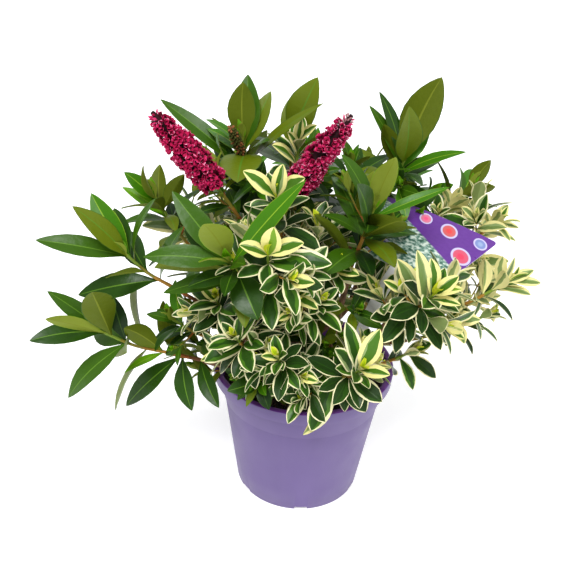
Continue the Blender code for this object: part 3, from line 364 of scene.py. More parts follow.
# Leaf outlines as (share of length, share of width), then a blade's fold and wave
# as shares of its half width, its thickness and that of its keel, the fold of a
# bud, and how far a blade bows, as a share of its length, and twists
LEAF_OUTLINES = {
    "green": ((0.0, 0.10), (0.07, 0.17), (0.17, 0.46), (0.29, 0.79), (0.42, 0.98), (0.55, 1.0),
              (0.68, 0.89), (0.80, 0.67), (0.90, 0.40), (0.96, 0.19), (1.0, 0.0)),
    "cream": ((0.0, 0.13), (0.08, 0.22), (0.18, 0.48), (0.30, 0.76), (0.42, 0.94), (0.54, 1.0),
              (0.66, 0.97), (0.77, 0.84), (0.87, 0.61), (0.95, 0.32), (0.985, 0.13), (1.0, 0.0)),
}
LEAF_FOLD = 0.26
LEAF_WAVE = 0.10
LEAF_THIN = 0.00045
LEAF_KEEL = 0.0005
BUD_FOLD = 0.55
LEAF_BOW = 0.03
LEAF_TWIST = 0.25

# Florets of a spike: how many, a petal's length, how far they stand off the core as
# shares of the spike's radius, and the grain and level of the bare patches
FLORET_COUNT = 300
FLORET_PETAL = 0.0040
FLORET_REACH = (0.22, 0.44)
FLORET_GAPS = (110, 0.30)
# Turn from floret to floret, how far up the spike they reach, where the buds take
# over, and the core's steps, share of the radius and least radius
GOLDEN_TURN = math.radians(137.5)
FLORETS_UP_TO = 0.97
BUDS_FROM = 0.86
CORE_STEPS = 14
CORE_SHARE = 0.42
CORE_THINNEST = 0.0008
# Spent head: radii of its axis, how many capsules, and from which share up
SPENT_AXIS = (0.0009, 0.0009, 0.0008, 0.0007, 0.0005)
CAPSULE_COUNT = 130
CAPSULES_FROM = 0.40
# Tip of a spike: how far the buds stand off, their tints, and the petals' tints
SPIKE_TIPS = {
    "spike_left": (0.75, ("petal_crimson", "petal_deep", "petal_rose"),
                   ("petal_crimson", "petal_crimson", "petal_rose", "petal_rose", "petal_pale")),
    "spike_right": (0.75, ("bud_grey", "bud_grey", "petal_rose"),
                    ("petal_rose", "petal_rose", "petal_pale", "petal_rose", "petal_pale")),
}

# Shine of the leaves and of the soft parts, and the fine grain and depth of the
# latter. Then the leaf finishes: name, paint, least and most roughness
LEAF_GLOSS = 0.17
SOFT_GLOSS = 0.14
SOFT_GRAIN = (900, 0.00008)
LEAF_FINISHES = (
    ("green_fresh", (88, 140, 8), 0.30, 0.46),
    ("green_bright", (58, 110, 6), 0.28, 0.44),
    ("green_mid", (52, 88, 8), 0.28, 0.44),
    ("green_deep", (34, 66, 8), 0.26, 0.42),
    ("green_dark", (22, 48, 12), 0.26, 0.42),
    ("green_old", (92, 108, 12), 0.32, 0.48),
    ("edge_light", (116, 148, 30), 0.34, 0.50),
    ("edge_dark", (62, 92, 24), 0.34, 0.50),
    ("rib_light", (124, 158, 36), 0.34, 0.50),
    ("rib_mid", (84, 122, 30), 0.34, 0.50),
    ("rib_dark", (54, 84, 24), 0.34, 0.50),
    ("under_green", (122, 136, 42), 0.46, 0.64),
    ("under_olive", (88, 102, 14), 0.46, 0.64),
    ("under_rib", (118, 128, 34), 0.46, 0.64),
    ("lime", (206, 212, 52), 0.30, 0.46),
    ("lime_heart", (170, 196, 28), 0.30, 0.46),
    ("yellow_edge", (230, 222, 146), 0.34, 0.50),
    ("cream_edge", (234, 228, 184), 0.34, 0.50),
    ("pale_edge", (222, 214, 148), 0.34, 0.50),
    ("heart_fresh", (112, 150, 40), 0.30, 0.46),
    # heart_grey: grey-green painted sheen, the gloss of a cream leaf laid into the colour of one half's
    # outer blade
    ("heart_grey", (134, 154, 98), 0.30, 0.46),
    ("heart_sage", (104, 128, 68), 0.30, 0.46),
    ("heart_mid", (66, 108, 26), 0.28, 0.44),
    ("heart_deep", (38, 72, 18), 0.28, 0.44),
    # heart_shade: a darker heart, painted shade for cream leaves deep in the crown's dark inside
    ("heart_shade", (30, 57, 16), 0.30, 0.46),
    ("under_cream", (222, 216, 150), 0.46, 0.64),
    ("under_heart", (134, 152, 92), 0.46, 0.64),
)

# Tones of a leaf: edge, outer blade of each side, inner blade and rib, then the
# underside's outer blade, inner blade and rib. A green leaf's blade is all one
LEAF_TONES = {
    "bud": ("lime", "lime", "lime", "lime_heart", "lime", "lime", "lime_heart", "lime"),
    # Young, pale and grey leaves carry the painted sheen on the outer blade of one side
    "young": ("yellow_edge", "heart_grey", "heart_mid", "heart_mid", "heart_mid",
              "under_cream", "heart_fresh", "under_cream"),
    "tip": ("yellow_edge", "yellow_edge", "heart_fresh", "heart_fresh", "heart_fresh",
            "under_cream", "under_cream", "under_cream"),
    "pale": ("pale_edge", "heart_grey", "heart_sage", "heart_sage", "heart_sage",
             "under_cream", "under_heart", "under_heart"),
    "grey": ("cream_edge", "heart_grey", "heart_mid", "heart_deep", "heart_deep",
             "under_cream", "under_heart", "under_heart"),
    "plain": ("cream_edge", "heart_mid", "heart_mid", "heart_deep", "heart_deep",
              "under_heart", "under_heart", "under_heart"),
    # The shade tone is painted shade: darker hearts for leaves inside the crown, where shade falls
    "shade": ("cream_edge", "heart_shade", "heart_deep", "heart_shade", "heart_deep",
              "under_heart", "under_heart", "under_heart"),
}
GREEN_TONES = (
    ("fresh", "edge_light", "rib_light", "under_green", "under_rib"),
    ("bright", "edge_light", "rib_light", "under_green", "under_rib"),
    ("mid", "edge_dark", "rib_mid", "under_green", "under_rib"),
    ("deep", "edge_dark", "rib_mid", "under_olive", "under_rib"),
    ("dark", "edge_dark", "rib_dark", "under_olive", "under_olive"),
    ("old", "edge_dark", "rib_mid", "under_olive", "under_rib"),
)
for tone, edge, rib, under, under_rib in GREEN_TONES:
    LEAF_TONES[tone] = (edge, *["green_" + tone] * 3, rib, under, under, under_rib)

# The edge band of a cream leaf begins between these two shares of its half width
EDGE_BANDS = {"bud": (0.5, 0.7), "young": (0.34, 0.56), "tip": (0.30, 0.50), "pale": (0.40, 0.64),
              "grey": (0.60, 0.80), "plain": (0.70, 0.86), "shade": (0.80, 0.92)}

# Tones dealt out by age, from a shoot's tip down, and those of pale shoots.
# The shade tone of the last cream ranks is painted shade, for leaves low down and deep inside the crown
AGE_TONES = {
    "green": (("fresh", "bright"), ("bright", "mid"), ("mid", "bright", "deep"),
              ("mid", "deep", "deep", "old"), ("deep", "dark", "mid", "old")),
    "cream": (("tip", "young"), ("young", "young", "grey"), ("grey", "plain"),
              ("plain", "plain", "grey", "shade"), ("plain", "shade", "shade")),
}
PALE_SHOOTS = ("leaves_far_right", "leaves_right_high", "leaves_right_up")

# Tones of the leading leaves, in the order of their table. Their shade tones are painted shade
LEADER_TONES = {
    "leaves_left_low": ("deep", "mid", "fresh", "old", "mid", "dark",
                        "old", "fresh", "deep", "deep", "dark", "deep"),
    "leaves_left_middle": ("mid", "old", "bright", "deep", "old", "mid", "deep"),
    "leaves_left_back": ("pale", "pale"),
    "leaves_left_high": ("bright", "fresh", "old", "fresh", "old", "dark"),
    "leaves_centre_left": ("mid", "mid", "fresh", "fresh", "bright", "deep", "mid", "dark"),
    "leaves_top_left": ("old", "mid", "old", "old", "mid", "old", "old"),
    "leaves_top_middle": ("old", "old", "deep"),
    "leaves_top_right": ("old", "old", "deep", "mid", "bright", "dark"),
    "leaves_right_middle": ("fresh", "mid", "deep", "old", "bright", "dark"),
    "leaves_right_back": ("old", "mid"),
    "leaves_top_back": ("young", "young", "young", "young"),
    "leaves_top_inner": ("old",),
    "leaves_centre": ("young", "young", "tip", "plain", "grey", "plain"),
    "leaves_upper_centre": ("young", "young", "young"),
    "leaves_right_front": ("pale", "young", "young", "tip", "young", "pale"),
    "leaves_low_right": ("young", "young", "grey", "plain", "shade", "shade", "pale"),
    "leaves_front_low": ("deep", "dark", "old"),
    "leaves_far_right": ("pale", "pale", "pale", "pale", "pale"),
    "leaves_right_high": ("pale", "pale", "pale", "pale"),
    "leaves_right_up": ("pale", "pale", "pale"),
    "leaves_rim_right": ("plain", "shade"),
}

# Finishes of the stems and the blossom, laid out as those of the leaves
SOFT_FINISHES = (
    ("stem_brown", (104, 66, 38), 0.5, 0.7),
    ("stem_rust", (148, 86, 42), 0.46, 0.66),
    ("stem_amber", (158, 116, 48), 0.44, 0.62),
    ("stem_olive", (128, 118, 46), 0.42, 0.60),
    ("stem_green", (118, 142, 52), 0.40, 0.56),
    ("stem_grey", (120, 104, 70), 0.5, 0.7),
    ("petal_crimson", (170, 16, 70), 0.60, 0.76),
    ("petal_rose", (210, 56, 112), 0.60, 0.76),
    ("petal_pale", (238, 146, 180), 0.60, 0.76),
    ("petal_deep", (78, 3, 24), 0.64, 0.80),
    ("bud_grey", (176, 128, 132), 0.5, 0.7),
    ("spike_core", (44, 16, 22), 0.6, 0.8),
    ("spent_olive", (72, 76, 32), 0.6, 0.8),
    ("spent_brown", (138, 88, 52), 0.6, 0.8),
)

# Mottled finishes: name, paints at levels of their pattern, its scale, least and
# most roughness, grain and depth of the relief, and the pattern's stretch
MOTTLED_FINISHES = (
    ("bark", ((0.30, (58, 38, 26)), (0.48, (112, 78, 50)), (0.66, (150, 118, 84))),
     160, 0.7, 0.95, 420, 0.0008, (1.0, 1.0, 0.35)),
    ("pot_violet", ((0.32, (91, 74, 125)), (0.68, (99, 82, 133))),
     14, 0.40, 0.54, 1500, 0.00004, (1.0, 1.0, 0.2)),
    # rim_purple: the pot's own violet plastic, painted deeper and more saturated for the lip's top and
    # inner wall, as painted shade under the leaves and light glowing through the thin plastic
    ("rim_purple", ((0.32, (108, 52, 150)), (0.68, (120, 62, 164))), 40, 0.34, 0.46, 1500, 0.00004),
    ("soil", ((0.34, (14, 10, 8)), (0.52, (34, 24, 17)), (0.70, (66, 48, 34))),
     240, 0.85, 1.0, 900, 0.0012),
    ("bark_chip", ((0.34, (40, 24, 14)), (0.66, (96, 62, 38))), 300, 0.8, 0.95, 700, 0.0006),
    ("card_back", ((0.32, (226, 224, 230)), (0.68, (240, 239, 243))), 60, 0.28, 0.36, 1200, 0.00002),
)

# Paints of the printed card: its base, ground, leafy corner and the rings of its
# motifs. Then a motif's ring, heart and eye as (share of its size, soft edge)
CARD_BASE = (98, 52, 148)
CARD_GROUND = ((0.3, (94, 46, 138)), (0.7, (100, 52, 144)))
CARD_LEAFY = ((0.36, (40, 84, 66)), (0.48, (112, 150, 136)), (0.60, (214, 226, 214)))
CARD_RING = (196, 190, 226)
CARD_DISCS = ((1.0, 0.02), (0.78, 0.06), (0.36, 0.3))

# Which finishes each kind of piece carries
GREEN_PALETTE = [row[0] for row in LEAF_FINISHES[:14]]
CREAM_PALETTE = [row[0] for row in LEAF_FINISHES[14:]]
BLOSSOM_PALETTE = ("petal_crimson", "petal_rose", "petal_pale", "petal_deep", "bud_grey", "spike_core")
STEM_PALETTE = ("stem_grey", "stem_brown", "stem_rust", "stem_amber", "stem_olive", "stem_green")
STEM_SHADES = {
    "green": ("stem_brown", "stem_rust", "stem_amber", "stem_olive", "stem_green"),
    "cream": ("stem_grey", "stem_brown", "stem_olive", "stem_amber", "stem_green"),
}

# Parts of the crown, by the boughs that carry them
SIDES = {
    "left": ("bough_left_low", "bough_left_middle", "bough_left_up"),
    "top": ("bough_top_left", "bough_top_right"),
    "right": ("bough_right_up", "bough_right_front", "bough_right_low"),
    "front": ("bough_front", "bough_front_left", "bough_front_right"),
    "back": ("bough_back_left", "bough_back", "bough_back_right"),
}

# Studio
SENSOR_WIDE = 36.0
SHEET_SIDE = 584
SIGHT_LENS = SENSOR_WIDE * SHEET_RANGE / SHEET_SIDE
FLOOR_SIDE = 60.0
FLOOR_DROP = 0.0002
FLOOR_COLOUR = (0.9, 0.9, 0.9)
WORLD_COLOUR = (0.97, 0.98, 1.0, 1.0)
WORLD_LIGHT = 0.60
FLOOR_GLOW = 0.35
SUNS = (
    ("key_sun", (-0.15, -0.80, 1.20), 24.0, 2.7),
    ("fill_sun", (1.3, -0.9, 0.6), 50.0, 0.6),
    ("back_sun", (0.2, 1.2, 1.0), 40.0, 0.6),
)


def sight_axes():
    """Unit vectors of the line of sight: to the right, up, and back to the viewer."""
    back = Vector((0.0, -math.cos(SIGHT_TILT), math.sin(SIGHT_TILT)))
    up = Vector((0.0, math.sin(SIGHT_TILT), math.cos(SIGHT_TILT)))
    right = Vector((math.cos(SIGHT_ROLL), 0.0, 0.0)) + up * math.sin(SIGHT_ROLL)
    top = up * math.cos(SIGHT_ROLL) - Vector((math.sin(SIGHT_ROLL), 0.0, 0.0))
    return right, top, back


def place(across, down, behind):
    """The point seen at this place of the sheet, so far behind the pot's axis."""
    right, top, back = sight_axes()
    ray = right * (across - SHEET_MIDDLE) / SHEET_RANGE - top * (down - SHEET_MIDDLE) / SHEET_RANGE - back
    return SIGHT_FROM + ray * ((behind - SIGHT_FROM.y) / ray.y)


def bend(start, heading, tip, settle, count=7):
    """Points on a smooth limb, straight for a little at both ends."""
    lead = start + heading * STRAIGHT
    close = tip - settle * STRAIGHT
    reach = (close - lead).length
    first = lead + heading * reach * 0.38
    last = close - settle * reach * 0.30
    points = [start]
    for i in range(count - 2):
        t = i / (count - 3)
        s = 1.0 - t
        points.append(lead * s ** 3 + first * 3 * s * s * t + last * 3 * s * t * t + close * t ** 3)
    return points + [tip]


def along(points, share):
    """Point and heading at a share of a limb's length."""
    lengths = [(b - a).length for a, b in zip(points, points[1:])]
    left = share * sum(lengths)
    for a, b, length in zip(points, points[1:], lengths):
        if left <= length or b is points[-1]:
            return a + (b - a) * (left / length), (b - a).normalized()
        left -= length


def square_to(heading, wish):
    """The unit vector square to heading that lies nearest to wish."""
    side = wish - heading * wish.dot(heading)
    if side.length < 1e-4:
        side = heading.orthogonal()
    return side.normalized()


def turned(side, other, turn):
    """The unit vector side turned toward other, which is square to it."""
    return side * math.cos(turn) + other * math.sin(turn)


def risen(way, rise):
    """The unit vector of a heading that is drawn up by a rise."""
    return (way + Vector((0.0, 0.0, rise))).normalized()


def walls(rings, sides):
    """The four-sided faces between rings of vertices."""
    faces = []
    for i in range(rings - 1):
        for j in range(sides):
            k = (j + 1) % sides
            faces.append((i * sides + j, i * sides + k, (i + 1) * sides + k, (i + 1) * sides + j))
    return faces


def closed_faces(rings, sides):
    """The faces between rings of vertices, and those of the two flat ends."""
    last = (rings - 1) * sides
    return walls(rings, sides) + [tuple(reversed(range(sides))), tuple(range(last, last + sides))]


def tube(points, radii, sides):
    """Vertices and faces of a closed tapering tube with flat ends."""
    vertices = []
    side = square_to((points[1] - points[0]).normalized(), Vector((0.31, 0.17, 0.94)))
    for i, (point, radius) in enumerate(zip(points, radii)):
        before = points[max(i - 1, 0)]
        after = points[min(i + 1, len(points) - 1)]
        heading = (after - before).normalized()
        side = square_to(heading, side)
        other = heading.cross(side)
        for j in range(sides):
            vertices.append(point + turned(side, other, 2 * math.pi * j / sides) * radius)
    return vertices, closed_faces(len(points), sides)


def taper(root, tip, count):
    return [root + (tip - root) * i / (count - 1) for i in range(count)]


def leaf_frame(leaf):
    """Unit vectors of a leaf: along it, across it, and out of its upper face."""
    ahead = (leaf["tip"] - leaf["base"]).normalized()
    up = square_to(ahead, leaf["face"])
    return ahead, ahead.cross(up), up


def leaf_size(leaf):
    """Length and greatest width of a leaf."""
    kind = LEAF_KINDS[leaf["kind"]]
    length = (leaf["tip"] - leaf["base"]).length
    return length, min(kind["width"] * length, kind["broadest"]) * leaf.get("wide", 1.0)


def leaf_solid(leaf, extra=0.0):
    """A slim keeled blade: rings of left edge, right edge and keel, then the tip.

    With extra, the rings gain a ridge and grow by it, for the clearance test.
    """
    kind = LEAF_KINDS[leaf["kind"]]
    ahead, across, up = leaf_frame(leaf)
    length, width = leaf_size(leaf)
    keel = max(LEAF_THICK * length, LEAF_THINNEST)
    vertices = []
    for share, broad in kind["stations"]:
        middle = leaf["base"] + ahead * length * share
        middle += up * kind["arch"] * length * 4 * share * (1 - share)
        half = across * (width * broad / 2 + extra)
        ring = [middle - half, middle + half, middle - up * (keel + extra)]
        if extra:
            ring.insert(1, middle + up * extra)
        vertices += ring
    sides = 4 if extra else 3
    rings = len(kind["stations"])
    vertices.append(leaf["tip"] + ahead * extra)
    tip = len(vertices) - 1
    faces = [tuple(range(sides))] + [(b, a, d, c) for a, b, c, d in walls(rings, sides)]
    for j in range(sides):
        faces.append(((rings - 1) * sides + (j + 1) % sides, (rings - 1) * sides + j, tip))
    return vertices, faces


def span(vertices):
    """Lowest and highest corner of the box round the vertices."""
    low = [min(v[i] for v in vertices) for i in range(3)]
    high = [max(v[i] for v in vertices) for i in range(3)]
    return low, high


class Room:
    """The space already taken, so that each shoot keeps to its own."""

    def __init__(self):
        self.taken = []

    def add(self, owner, vertices, faces):
        self.taken.append((owner, *span(vertices), BVHTree.FromPolygons(vertices, faces)))

    def is_free(self, owner, vertices, faces):
        low, high = span(vertices)
        tree = None
        for other, floor, roof, solid in self.taken:
            if other == owner:
                continue
            if any(low[i] > roof[i] or high[i] < floor[i] for i in range(3)):
                continue
            if tree is None:
                tree = BVHTree.FromPolygons(vertices, faces)
            if tree.overlap(solid):
                return False
        return True


def in_pot(vertices):
    """True where a point is under the rim's level inside the pot and too low."""
    for v in vertices:
        if math.hypot(v.x, v.y) < RIM_RADIUS and v.z < SOIL_TOP + SOIL_CLEAR:
            return True
    return False


def pot_profile():
    """The pot's section as (radius, height), down its outer side and up inside."""
    body_top = BODY_TOP_RADIUS
    under_rim = POT_HEIGHT - RIM_BAND
    step = under_rim - STEP_DROP
    slope = (body_top - BASE_RADIUS) / under_rim
    step_radius = BASE_RADIUS + slope * step
    return [
        (RIM_RADIUS - POT_ROUND, POT_HEIGHT),
        (RIM_RADIUS, POT_HEIGHT - POT_ROUND),
        (RIM_RADIUS - POT_ROUND, under_rim),
        (body_top, under_rim),
        (step_radius + STEP_RISE, step),
        (step_radius, step - STEP_RISE),
        (BASE_RADIUS + FOOT_ROUND, FOOT_ROUND),
        (BASE_RADIUS, 0.0),
        (0.0, 0.0),
        (0.0, POT_WALL),
        (BASE_RADIUS - POT_WALL, POT_WALL),
        (body_top - POT_WALL, under_rim),
        (RIM_RADIUS - RIM_LIP, POT_HEIGHT - POT_ROUND),
        (RIM_RADIUS - RIM_LIP + POT_ROUND, POT_HEIGHT),
    ]


def soil_radius(height):
    """The soil's radius at a height, a gap inside the pot's wall."""
    share = (height - POT_WALL) / (POT_HEIGHT - RIM_BAND - POT_WALL)
    inner = BASE_RADIUS - POT_WALL + (BODY_TOP_RADIUS - BASE_RADIUS) * share
    return inner - 2 * GAP


def card_frame():
    """The card's head middle, its directions across and down, and its width."""
    left = place(*CARD_LEFT)
    right = place(*CARD_RIGHT)
    across = (right - left).normalized()
    return (left + right) / 2, across, square_to(across, CARD_SLOPE), (right - left).length


def strip(points, across, widths, thick):
    """Vertices and faces of a flat strip along points, square ended."""
    vertices = []
    for i, (point, width) in enumerate(zip(points, widths)):
        heading = (points[min(i + 1, len(points) - 1)] - points[max(i - 1, 0)]).normalized()
        side = square_to(heading, across)
        up = heading.cross(side)
        for a, b in ((-1, -1), (1, -1), (1, 1), (-1, 1)):
            vertices.append(point + side * a * width / 2 + up * b * thick / 2)
    return vertices, closed_faces(len(points), 4)


def label_line():
    """Points and widths of the whole label, from its head to its buried end."""
    head, _, down, wide = card_frame()
    foot = head + down * CARD_LONG
    points = [head, foot]
    widths = [wide, wide * CARD_FOOT_SHARE]
    line = bend(foot, down * 0.3, STAKE_END, Vector((0.0, 0.12, -1.0)).normalized(), 9)[1:]
    for i, point in enumerate(line):
        points.append(point)
        widths.append(STAKE_WIDE * (1.0 - STAKE_TAPER * (i + 1) / len(line)))
    return points, widths


def trunk_line():
    """Points and radii of the trunk, flared at its flat foot."""
    foot = SOIL_TOP + GAP
    points = []
    radii = []
    for rise, radius in TRUNK_PROFILE:
        height = foot + (TRUNK_TOP - foot) * rise
        lean = TRUNK_LEAN * max(0.0, rise - 0.05)
        points.append(Vector((lean, 0.5 * lean, height)))
        radii.append(radius)
    return points, radii


def trunk_at(height):
    """The trunk's middle and radius at a height."""
    points, radii = trunk_line()
    for i in range(len(points) - 1):
        if points[i + 1].z >= height:
            share = (height - points[i].z) / (points[i + 1].z - points[i].z)
            radius = radii[i] + (radii[i + 1] - radii[i]) * share
            return points[i].lerp(points[i + 1], share), radius


def bough_line(name):
    """Points and radii of a bough, from beside the trunk to its end."""
    height, end_place = BOUGHS[name]
    end = place(*end_place)
    middle, radius = trunk_at(height)
    out = Vector((end.x - middle.x, end.y - middle.y, 0.0)).normalized()
    start = middle + out * (radius + 1.5 * GAP)
    tip = place(*first_shoot(name)[3])
    points = bend(start, out, end, (tip - end).normalized(), 6)
    return points, taper(BOUGH_ROOT, BOUGH_TIP, len(points))


def first_shoot(bough):
    """The shoot that grows on from the bough's end."""
    for shoot in SHOOTS.values():
        if shoot[1] == bough and shoot[2] == 1.0:
            return shoot


def stem_line(name, boughs):
    """Points and radii of a shoot's stem, from beside its bough to its tip."""
    _, bough, share, tip_place = SHOOTS[name][:4]
    points, radii = boughs[bough]
    tip = place(*tip_place)
    start, heading = along(points, share)
    if share == 1.0:
        start = points[-1] + heading * GAP
    else:
        radius = radii[0] + (radii[-1] - radii[0]) * share
        wish = (tip - start).normalized() + Vector((0.0, 0.0, 0.25))
        heading = square_to(heading, wish)
        start = start + heading * (radius + GAP)
    if name in SPIKES:
        settle = (place(*SPIKES[name]) - tip).normalized()
    else:
        settle = risen((tip - start).normalized(), 0.45)
    line = bend(start, heading, tip, settle, 6)
    return line, taper(STEM_ROOT, STEM_TIP, len(line))


def make_leaf(kind, base, heading, out, spread, length, rank, sag=0.0):
    """A leaf that leaves its stem at a spread angle, upper face to the stem's tip."""
    ahead = risen(turned(heading, out, spread), -sag)
    face = square_to(ahead, heading + Vector((0.0, 0.0, 0.15)))
    return dict(kind=kind, base=base, tip=base + ahead * length, face=face, rank=rank)


def leaf_pairs(rng, kind, line, pairs, length, turn):
    """Opposite pairs from a shoot's tip down, each turned a quarter from the last."""
    total = sum((b - a).length for a, b in zip(line, line[1:]))
    node = LEAF_KINDS[kind]["node"]
    angles = LEAF_KINDS[kind]["spread"]
    leaves = []
    down = 0.001
    for pair in range(pairs):
        if down > total * LEAFY_SHARE:
            break
        base, heading = along(line, 1.0 - down / total)
        side = square_to(heading, Vector((0.93, 0.21, 0.31)))
        angle = math.radians(turn + 90 * pair + rng.uniform(-LEAF_TURN, LEAF_TURN))
        out = Matrix.Rotation(angle, 3, heading) @ side
        share = TIP_SHARES[min(pair, len(TIP_SHARES) - 1)]
        spread = angles[min(pair, len(angles) - 1)]
        for sign in (1, -1):
            size = length * share * rng.uniform(0.88, 1.10)
            lean = math.radians(spread + rng.uniform(-LEAF_LEAN, LEAF_LEAN))
            sag = LEAF_SAG * pair * rng.uniform(0.4, 1.0)
            root = base + out * sign * ROOT_SHIFT
            leaves.append(make_leaf(kind, root, heading, out * sign, lean, size, pair, sag))
        down += node * min(1.0, 0.30 + 0.2 * pair) * rng.uniform(0.85, 1.15)
    return leaves


def strewn(rng, low, high, i, count):
    """A share within one of the equal stretches between two shares."""
    return low + (high - low) * (i + rng.uniform(0.1, 0.9)) / count


def any_way(rng, low, high):
    """A wish for a heading to any side, with a rise between two levels."""
    return Vector((rng.uniform(-1, 1), rng.uniform(-1, 1), rng.uniform(low, high)))


def side_twigs(rng, line, count, length):
    """Side shoots from a stem's upper half, each with a turn for its pairs."""
    twigs = []
    for i in range(count):
        base, heading = along(line, strewn(rng, *SIDE_SHARES, i, count))
        side = square_to(heading, any_way(rng, -0.2, 0.8))
        ahead = (heading * 0.62 + side * 0.78).normalized()
        reach = length * rng.uniform(0.75, 1.0)
        twigs.append((bend(base, ahead, base + ahead * reach, risen(ahead, 0.4), 4), rng.uniform(0, 90)))
    return twigs


def leading_leaves(name, kind, line):
    """The leaves that shape the outline, each aimed at its own tip."""
    leaves = []
    _, _, sight = sight_axes()
    for share, tip_place, seen, wide in LEADERS.get(name, ()):
        base, heading = along(line, share)
        tip = place(*tip_place)
        root = base + square_to(heading, tip - base) * ROOT_SHIFT
        wish = heading * 0.4 + Vector((0.0, 0.0, 0.2)) + sight * 0.9 * seen
        face = square_to((tip - root).normalized(), wish)
        leaves.append(dict(kind=kind, base=root, tip=tip, face=face, rank=3, wide=wide))
    return leaves


def crowded(leaf, others):
    """True where a leaf would lie on a leading leaf of its own shoot."""
    ahead = (leaf["tip"] - leaf["base"]).normalized()
    for other in others:
        way = (other["tip"] - other["base"]).normalized()
        near = (leaf["base"] - other["base"]).length < CROWD_NEAR
        if near and ahead.dot(way) > CROWD_ALIKE:
            return True
    return False


def spike_rings(name, stem):
    """Middle line and radii of a flower spike."""
    base = stem[-1] - (stem[-1] - stem[-2]).normalized() * SPIKE_SEAT
    tip = place(*SPIKES[name])
    points = []
    radii = []
    for share, radius in SPIKE_PROFILE:
        points.append(base.lerp(tip, share))
        radii.append(radius)
    return points, radii


def fixed_solids(room, boughs):
    """Enter the pot, soil, label, trunk and boughs in the room."""
    ring = POT_SEGMENTS
    section = pot_profile()
    vertices = []
    for radius, height in section:
        for j in range(ring):
            turn = 2 * math.pi * j / ring
            vertices.append(Vector((radius * math.cos(turn), radius * math.sin(turn), height)))
    around = walls(len(section) + 1, ring)
    room.add("pot", vertices, [tuple(corner % len(vertices) for corner in face) for face in around])
    floor = POT_WALL + GAP
    plug = [Vector((0.0, 0.0, floor)), Vector((0.0, 0.0, SOIL_TOP))]
    room.add("soil", *tube(plug, [soil_radius(floor), soil_radius(SOIL_TOP)], ring))
    points, widths = label_line()
    room.add("plant_label", *strip(points, card_frame()[1], widths, CARD_THICK))
    points, radii = trunk_line()
    room.add("trunk", *tube(points, radii, 12))
    for name, (points, radii) in boughs.items():
        room.add(name, *tube(points, radii, 8))


def grow():
    """The whole plant: boughs, and each shoot's stem, twigs, leaves and blossom."""
    boughs = {name: bough_line(name) for name in BOUGHS}
    room = Room()
    fixed_solids(room, boughs)
    masses = {}
    for name in SHOOTS:
        line, radii = stem_line(name, boughs)
        mass = dict(kind=SHOOTS[name][0], stem=(line, radii), twigs=[], leaves=[], blossom=[])
        masses[name] = mass
        if name in SPIKES:
            mass["blossom"].append(spike_rings(name, line))
        if name == "leaves_top_left":
            base, _ = along(line, SPENT_SHARE)
            tip = place(*SPENT_TIP)
            points = [base.lerp(tip, share) for share, _ in SPENT_PROFILE]
            mass["blossom"].append((points, [radius for _, radius in SPENT_PROFILE]))
        room.add(name, *tube(line, radii, 4))
        for points, radii in mass["blossom"]:
            room.add(name, *tube(points, radii, 8))
    wishes = {}
    for order, (name, row) in enumerate(SHOOTS.items()):
        kind, _, _, _, pairs, length, turn, sides = row
        rng = random.Random(SEED + order)
        line = masses[name]["stem"][0]
        leaders = leading_leaves(name, kind, line)
        for leaf in leaders:
            settle_leaf(room, masses[name], name, leaf)
        pairs_here = leaf_pairs(rng, kind, line, pairs, length, turn)
        queue = [(None, leaf) for leaf in pairs_here if not crowded(leaf, leaders)]
        for twig, twist in side_twigs(rng, line, sides, SIDE_REACH * length):
            queue.append((twig, None))
            for leaf in leaf_pairs(rng, kind, twig, SIDE_PAIRS, SIDE_LEAVES * length, twist):
                queue.append((twig, leaf))
        wishes[name] = queue
    step = 0
    while any(step < len(queue) for queue in wishes.values()):
        for name, queue in wishes.items():
            if step < len(queue):
                settle(room, masses[name], name, *queue[step])
        step += 1
    return boughs, masses, room


def settle(room, mass, name, twig, leaf):
    """Accept a twig, or a leaf on the stem or on an accepted twig."""
    if leaf is None:
        wide = tube(twig, taper(TWIG_ROOT + LEAF_GAP, TWIG_TIP + LEAF_GAP, len(twig)), 3)
        if room.is_free(name, *wide) and not in_pot(wide[0]):
            mass["twigs"].append(twig)
            room.add(name, *tube(twig, taper(TWIG_ROOT, TWIG_TIP, len(twig)), 3))
    elif twig is None or any(twig is kept for kept in mass["twigs"]):
        settle_leaf(room, mass, name, leaf)


def settle_leaf(room, mass, name, leaf):
    """Accept a leaf if it is clear, else one a little shorter or turned."""
    length = leaf["tip"] - leaf["base"]
    ahead, across, up = leaf_frame(leaf)
    tries = [(1.0, 0.0, 0.0), (0.86, 0.0, 0.0), (0.9, 0.22, 0.0), (0.9, -0.22, 0.0),
             (0.9, 0.0, 0.22), (0.9, 0.0, -0.22), (0.7, 0.0, 0.0)]
    for size, turn, lift in tries:
        trial = dict(leaf)
        way = (ahead + across * turn + up * lift).normalized()
        trial["tip"] = leaf["base"] + way * length.length * size
        shell = leaf_solid(trial, LEAF_GAP)
        if room.is_free(name, *shell) and not in_pot(shell[0]):
            mass["leaves"].append(trial)
            room.add(name, *leaf_solid(trial))
            return


# Finer growth

def fine_twigs(rng, line, low, high, count, reach):
    """Thin side shoots spread between two shares of a limb."""
    twigs = []
    for i in range(count):
        base, heading = along(line, strewn(rng, low, high, i, count))
        side = square_to(heading, any_way(rng, -0.3, 0.7))
        ahead = (heading * 0.55 + side * 0.84).normalized()
        tip = base + ahead * reach * rng.uniform(0.7, 1.0)
        twigs.append((bend(base, ahead, tip, risen(ahead, 0.5), 5), rng.uniform(0, 90)))
    return twigs


def kept_open(name, point):
    """Whether the photo leaves the place of a fine twig or leaf open to the sky."""
    return point.z < FINE_FLOOR or point.x > FINE_RIGHT.get(name, 1.0)


